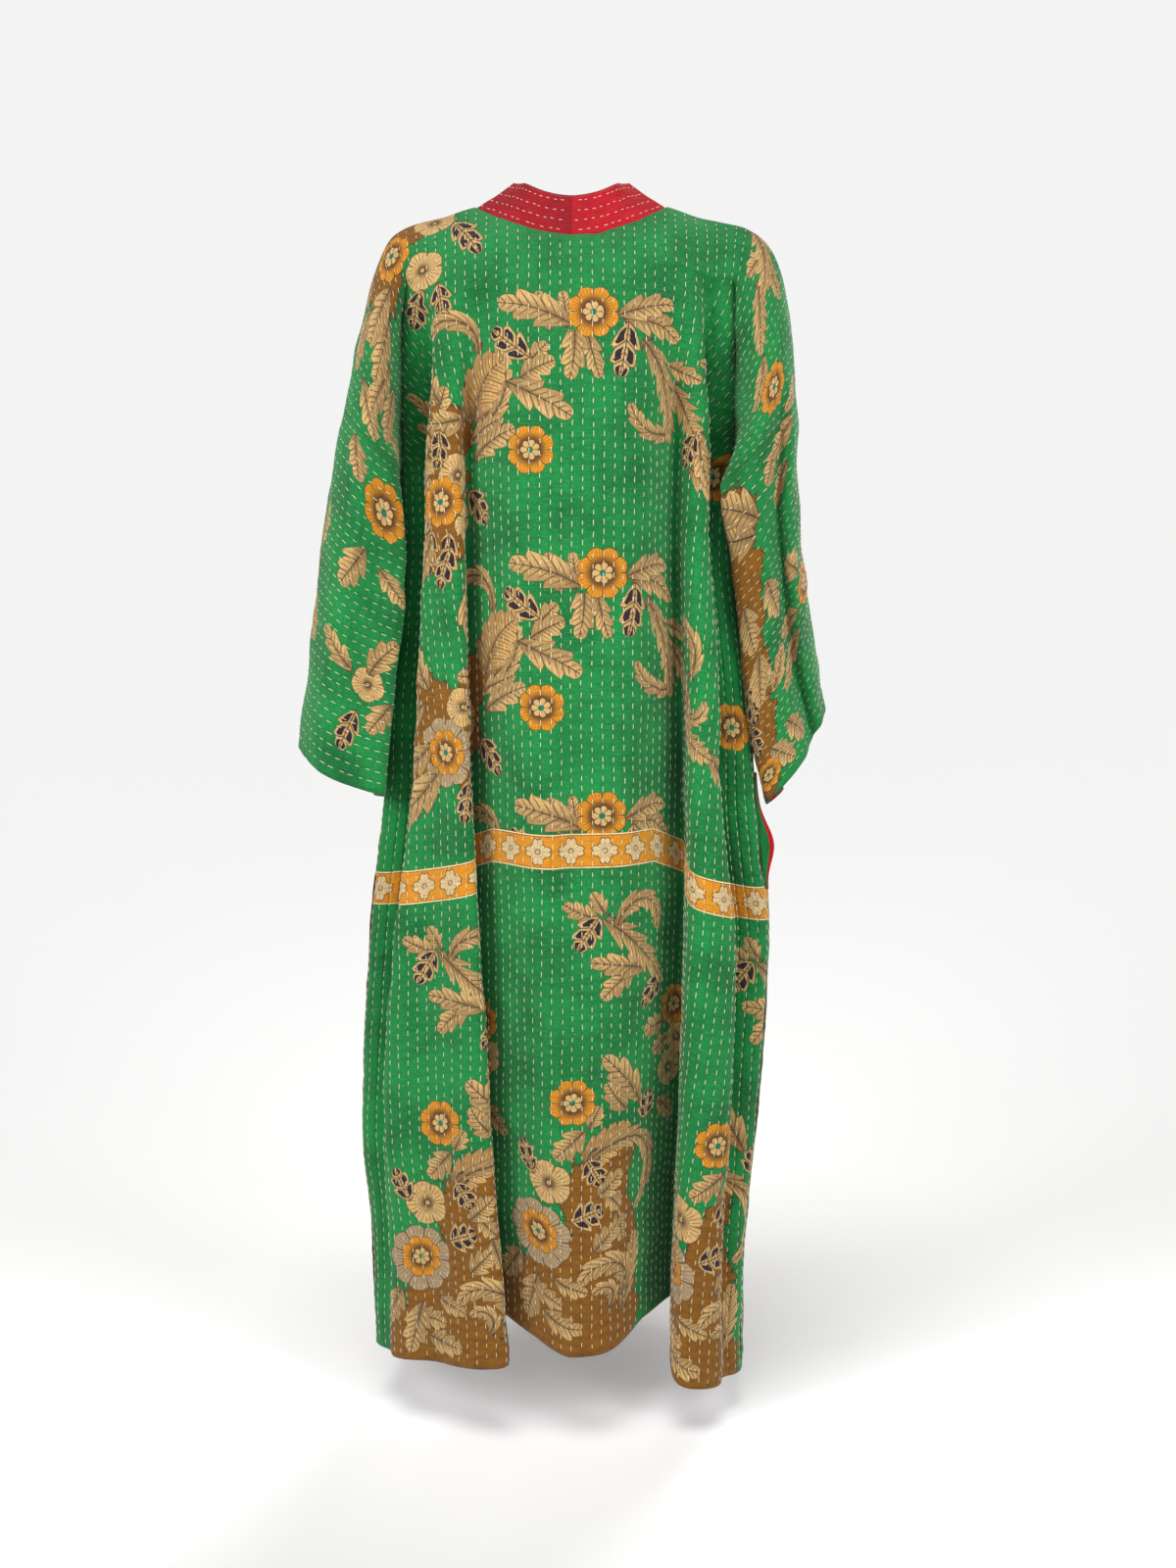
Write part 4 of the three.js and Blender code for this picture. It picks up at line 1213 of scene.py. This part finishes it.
def quilted_bump(n, uv, across, strength=1.0):
    """The dents along the rows of stitches, the fine puckers between them, and the weave."""
    row = n.take(n.math("FRACT", n.add(n.math("DIVIDE", across, ROW_SPACING), 100.5)), 0.5)
    groove = n.ramp(n.math("ABSOLUTE", row), 0.0, 0.22, -0.9, 0.0)
    puckers = n.noise(n.stretched(uv, 0.028, 0.15), 1.0, 3.0, 0.6)
    creases = n.noise(n.stretched(uv, 0.05, 0.05), 1.0, 4.0, 0.65)
    weave = n.noise(n.stretched(uv, 1.6, 1.6), 1.0, 1.0, 0.5)
    height = n.add(n.times(creases, 4.0), n.times(weave, 0.3))
    height = n.add(groove, n.add(n.times(puckers, 3.2), height))
    bump = n.new("ShaderNodeBump")
    bump.inputs["Strength"].default_value = strength
    bump.inputs["Distance"].default_value = 0.001
    n.put(bump.inputs["Height"], height)
    return bump.outputs["Normal"]


def material_of(name):
    material = bpy.data.materials.new(name)
    material.use_nodes = True
    n = Nodes(material.node_tree)
    surface = material.node_tree.nodes["Principled BSDF"]
    surface.inputs["Roughness"].default_value = 0.85
    surface.inputs["Specular IOR Level"].default_value = 0.2
    surface.inputs["Sheen Weight"].default_value = 0.12
    surface.inputs["Sheen Roughness"].default_value = 0.5
    return material, n, surface


def printed_cotton():
    """Green cotton with its print. The flat cloth in millimetres is the map's coordinates."""
    material, n, surface = material_of("printed cotton")
    uv = n.new("ShaderNodeUVMap", uv_map="cloth").outputs[0]
    across, down, _ = n.split(uv)
    mottle = n.noise(n.stretched(uv, 0.012, 0.012), 1.0, 4.0, 0.6)
    slub = n.noise(n.stretched(uv, 0.02, 0.5), 1.0, 2.0, 0.6)
    colour = n.tint(n.ramp(n.add(mottle, n.times(slub, 0.25)), 0.38, 0.78), DEEP_GREEN, GREEN)

    # The brown ground has a curling edge
    curl = n.noise(n.stretched(uv, 0.06, 0.06), 1.0, 3.0, 0.6)
    ground = n.add(n.attribute("ground").outputs["Fac"], n.times(n.take(curl, 0.5), 34.0))
    brown = n.tint(n.ramp(n.noise(n.stretched(uv, 0.05, 0.16), 1.0, 3.0), 0.35, 0.7), BROWN, SHADE)
    brown = n.tint(0.35, BROWN, brown)
    colour = n.tint(n.ramp(ground, 0.0, 0.7), colour, brown)
    line = n.ramp(n.math("ABSOLUTE", n.take(ground, 0.6)), 0.4, 1.4, 0.85, 0)
    colour = n.tint(line, colour, OUTLINE)

    group = motif_group()
    for slot in reversed(range(SLOTS)):
        node = n.new("ShaderNodeGroup", node_tree=group)
        for socket, name in zip(node.inputs, ("place", "look", "finish")):
            n.put(socket, n.attribute(f"{name}_{slot}").outputs["Vector"])
        colour = n.tint(node.outputs["Cover"], colour, node.outputs["Colour"])

    sag = n.ramp(n.math("ABSOLUTE", across), BORDER_SAG_FROM, BORDER_SAG_TO, 0.0, BORDER_SAG)
    below = n.take(n.take(down, BORDER_AT), sag)
    border, share = border_colours(n, across, below)
    colour = n.tint(share, colour, border)

    faded = n.noise(n.stretched(uv, 0.4, 0.4), 1.0, 2.0)
    colour = n.tint(n.ramp(faded, 0.55, 0.8, 0.0, 0.10), colour, CREAM)
    n.put(surface.inputs["Base Color"], colour)
    n.put(surface.inputs["Normal"], quilted_bump(n, uv, across))
    return material


def plain_cotton(name, colour, other):
    material, n, surface = material_of(name)
    uv = n.new("ShaderNodeUVMap", uv_map="cloth").outputs[0]
    mottle = n.noise(n.stretched(uv, 0.02, 0.02), 1.0, 4.0, 0.6)
    n.put(surface.inputs["Base Color"], n.tint(n.ramp(mottle, 0.3, 0.7), other, colour))
    puckers = n.noise(n.stretched(uv, 0.16, 0.05), 1.0, 3.0, 0.6)
    weave = n.noise(n.stretched(uv, 1.6, 1.6), 1.0, 1.0)
    bump = n.new("ShaderNodeBump")
    bump.inputs["Distance"].default_value = 0.001
    n.put(bump.inputs["Height"], n.add(n.times(puckers, 3.0), n.times(weave, 0.3)))
    n.put(surface.inputs["Normal"], bump.outputs["Normal"])
    return material


def thread(name, colour):
    material, _, surface = material_of(name)
    surface.inputs["Base Color"].default_value = colour
    surface.inputs["Roughness"].default_value = 0.6
    return material


def seat(obj, nodes):
    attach(obj, "root")
    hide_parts(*nodes)


def add_stitches(obj):
    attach(obj, "root")
    return obj


def panel_rows(low, high, top):
    """Rows of stitches down a panel between two places across it."""
    first, last = math.ceil((low + 4) / ROW_SPACING), math.floor((high - 4) / ROW_SPACING)
    places = [k * ROW_SPACING for k in range(first, last + 1)]
    return [(at, float(top(at)) + 2, ROBE_LENGTH - 3) for at in places]


def mirror_rows(surface):
    """The same surface with down counted away from the shoulder seam over the front."""

    def over_the_front(across, down):
        return surface(across, -down)

    return over_the_front


def front_rows():
    """Rows of stitches down a front. Those past the neck start where the front edge crosses them."""
    rows = []
    for across, _, hem in panel_rows(FRONT_EDGE, HALF_CUT, lambda s: 0):
        start = 0
        while across <= NECK_HALF and front_edge(start) >= across - 3:
            start += 4
        rows.append((across, start + 3, hem))
    return rows


def sleeve_rows():
    """Rows of stitches round a sleeve, counted on from those of the body."""
    first, last = math.ceil((HALF_CUT + 5) / ROW_SPACING), int((HALF_CUT + SLEEVE) / ROW_SPACING)
    return [(k * ROW_SPACING, -ARMHOLE + 3, ARMHOLE - 3) for k in range(first, last)]


def on_side(rows, sign):
    return [(sign * across, start, end) for across, start, end in rows]


def make_back(cloths):
    back = panel("back_cloth", back_place, PANEL_CELLS, LENGTH_CELLS, False, BACK_PRINT, BACK_GROUND, cloths)
    seat(back, ["back"])
    rows = panel_rows(-HALF_CUT, HALF_CUT, back_neck)
    back_thread = add_stitches(sew("back_stitches", hung, rows, cream_thread))


def make_front(side, sign, cloths):
    wide = int(FRONT_SHARE * PANEL_CELLS)
    name, place = f"front_{side}_cloth", front_place(side)
    front = panel(name, place, wide, LENGTH_CELLS, True, BACK_PRINT, BACK_GROUND, cloths)
    seat(front, [f"front_{side}"])
    rows = on_side(front_rows(), sign)
    stitches = add_stitches(sew(f"front_{side}_stitches", mirror_rows(hung), rows, cream_thread))


def make_sleeve(side, sign, cloths):
    wide, long = int(SLEEVE / CELL), int(2 * ARMHOLE / CELL)
    name, place = f"sleeve_{side}_cloth", sleeve_place(side)
    sleeve = panel(name, place, wide, long, False, SLEEVE_PRINT, SLEEVE_GROUND, cloths, joined=True)
    seat(sleeve, [f"sleeve_{side}"])
    rows = on_side(sleeve_rows(), sign)
    stitches = add_stitches(sew(f"sleeve_{side}_stitches", hung, rows, cream_thread))


def make_neckband(side, red):
    strip, length = band(side, (red, lining))
    seat(strip, [f"neckband_{side}"])
    surface, _ = band_surface(side)
    rows = [(reach, 2, length - 3) for reach in BAND_ROWS]
    stitches = add_stitches(sew(f"neckband_{side}_stitches", surface, rows, cream_thread, *BAND_STITCH))


def make_pocket_binding(red, green):
    pocket = binding((red, green))
    seat(pocket, ["pocket_binding"])

    def surface(reach, down):
        return binding_surface(reach / POCKET_REACH, down)

    rows = [(at, POCKET_TOP + 2, POCKET_TOP + POCKET_LENGTH - 2) for at in POCKET_ROWS]
    pink_thread = thread("pink thread", linear(226, 128, 150))
    pocket_thread = add_stitches(sew("pocket_binding_stitches", surface, rows, pink_thread, *POCKET_STITCH))


lining = plain_cotton("dark red lining", linear(112, 16, 34), DARK_RED)
printed = (printed_cotton(), lining)
left_red = plain_cotton("red cotton", linear(164, 10, 28), linear(136, 8, 24))
right_red = plain_cotton("bright red cotton", linear(190, 12, 32), linear(160, 10, 26))
cream_thread = thread("cream thread", CREAM)
make_back(printed)
for side, sign, red in (("left", 1, left_red), ("right", -1, right_red)):
    make_front(side, sign, printed)
    make_sleeve(side, sign, printed)
    make_neckband(side, red)
make_pocket_binding(right_red, plain_cotton("green cotton", GREEN, DEEP_GREEN))


FLOOR_HEIGHT = -1.36
FRAME_WIDTH, FRAME_HEIGHT = 1200, 1600
FOCAL_PIXELS = 2010
MIDDLE_PIXEL = 583
CAMERA_TILT = 9.8


def add_lamp(lamp, towards):
    """Links a lamp turned so that it shines from towards to the middle of the scene."""
    obj = bpy.data.objects.new(lamp.name, lamp)
    across = math.hypot(towards[0], towards[1])
    obj.rotation_euler = (math.atan2(across, towards[2]), 0, math.atan2(towards[0], -towards[1]))
    bpy.context.scene.collection.objects.link(obj)
    return obj


def sun_light(name, towards, strength, softness):
    """An even light from far off. Towards points from the object to the light."""
    lamp = bpy.data.lights.new(name, "SUN")
    lamp.energy = strength
    lamp.angle = softness
    add_lamp(lamp, towards)


def soft_box(name, place, watts):
    """A square lamp turned to the middle of the robe, which leaves its hem a little darker."""
    lamp = bpy.data.lights.new(name, "AREA")
    lamp.energy = watts
    lamp.size = 0.8
    lamp.spread = math.radians(75)
    add_lamp(lamp, (place[0], place[1], place[2] + 0.5)).location = place


def make_floor():
    """A plain pale floor, wide enough to pass out of sight."""
    built = bmesh.new()
    bmesh.ops.create_circle(built, cap_ends=True, segments=64, radius=30)
    mesh = bpy.data.meshes.new("floor")
    built.to_mesh(mesh)
    built.free()
    floor = bpy.data.objects.new("floor", mesh)
    floor.location = (0, 0, FLOOR_HEIGHT)
    bpy.context.scene.collection.objects.link(floor)
    material = bpy.data.materials.new("pale floor")
    material.use_nodes = True
    surface = material.node_tree.nodes["Principled BSDF"]
    surface.inputs["Base Color"].default_value = (0.937, 0.937, 0.932, 1)
    surface.inputs["Roughness"].default_value = 0.9
    surface.inputs["Specular IOR Level"].default_value = 0
    mesh.materials.append(material)


def make_lights():
    """A pale backdrop that lights the robe only a little, with suns all round and two boxes."""
    world = bpy.data.worlds.new("pale studio")
    world.use_nodes = True
    background = world.node_tree.nodes["Background"]
    background.inputs["Color"].default_value = (1, 1, 0.995, 1)
    n = Nodes(world.node_tree)
    seen = n.new("ShaderNodeLightPath").outputs["Is Camera Ray"]
    n.put(background.inputs["Strength"], n.ramp(seen, 0.0, 1.0, 0.04, 0.9))
    bpy.context.scene.world = world
    sun_light("key", (0.1, 1.0, 0.35), 0.1, 0.35)
    sun_light("left key", (1.3, 0.8, 0.6), 0.75, 0.3)
    sun_light("right key", (-1.3, 0.8, 0.6), 0.6, 0.3)
    sun_light("top light", (0.1, 0.25, 1.0), 1.45, 0.5)
    sun_light("front key", (-0.4, -1.0, 0.4), 2.75, 0.5)
    soft_box("left box", (1.4, 1.5, 0.3), 4.6)
    soft_box("right box", (-1.4, 1.5, 0.3), 3.9)


def make_camera():
    """A camera behind the robe, as in the photograph."""
    lens = bpy.data.cameras.new("camera")
    lens.sensor_fit = "VERTICAL"
    lens.sensor_height = 24
    lens.lens = 24 * FOCAL_PIXELS / FRAME_HEIGHT
    lens.shift_x = (FRAME_WIDTH / 2 - MIDDLE_PIXEL) / FRAME_HEIGHT
    camera = bpy.data.objects.new("camera", lens)
    camera.location = (0, 2.2, -0.25)
    camera.rotation_euler = (math.radians(90 - CAMERA_TILT), 0, math.pi)
    bpy.context.scene.collection.objects.link(camera)
    bpy.context.scene.camera = camera
    bpy.context.scene.view_settings.view_transform = "Standard"


make_floor()
make_lights()
make_camera()
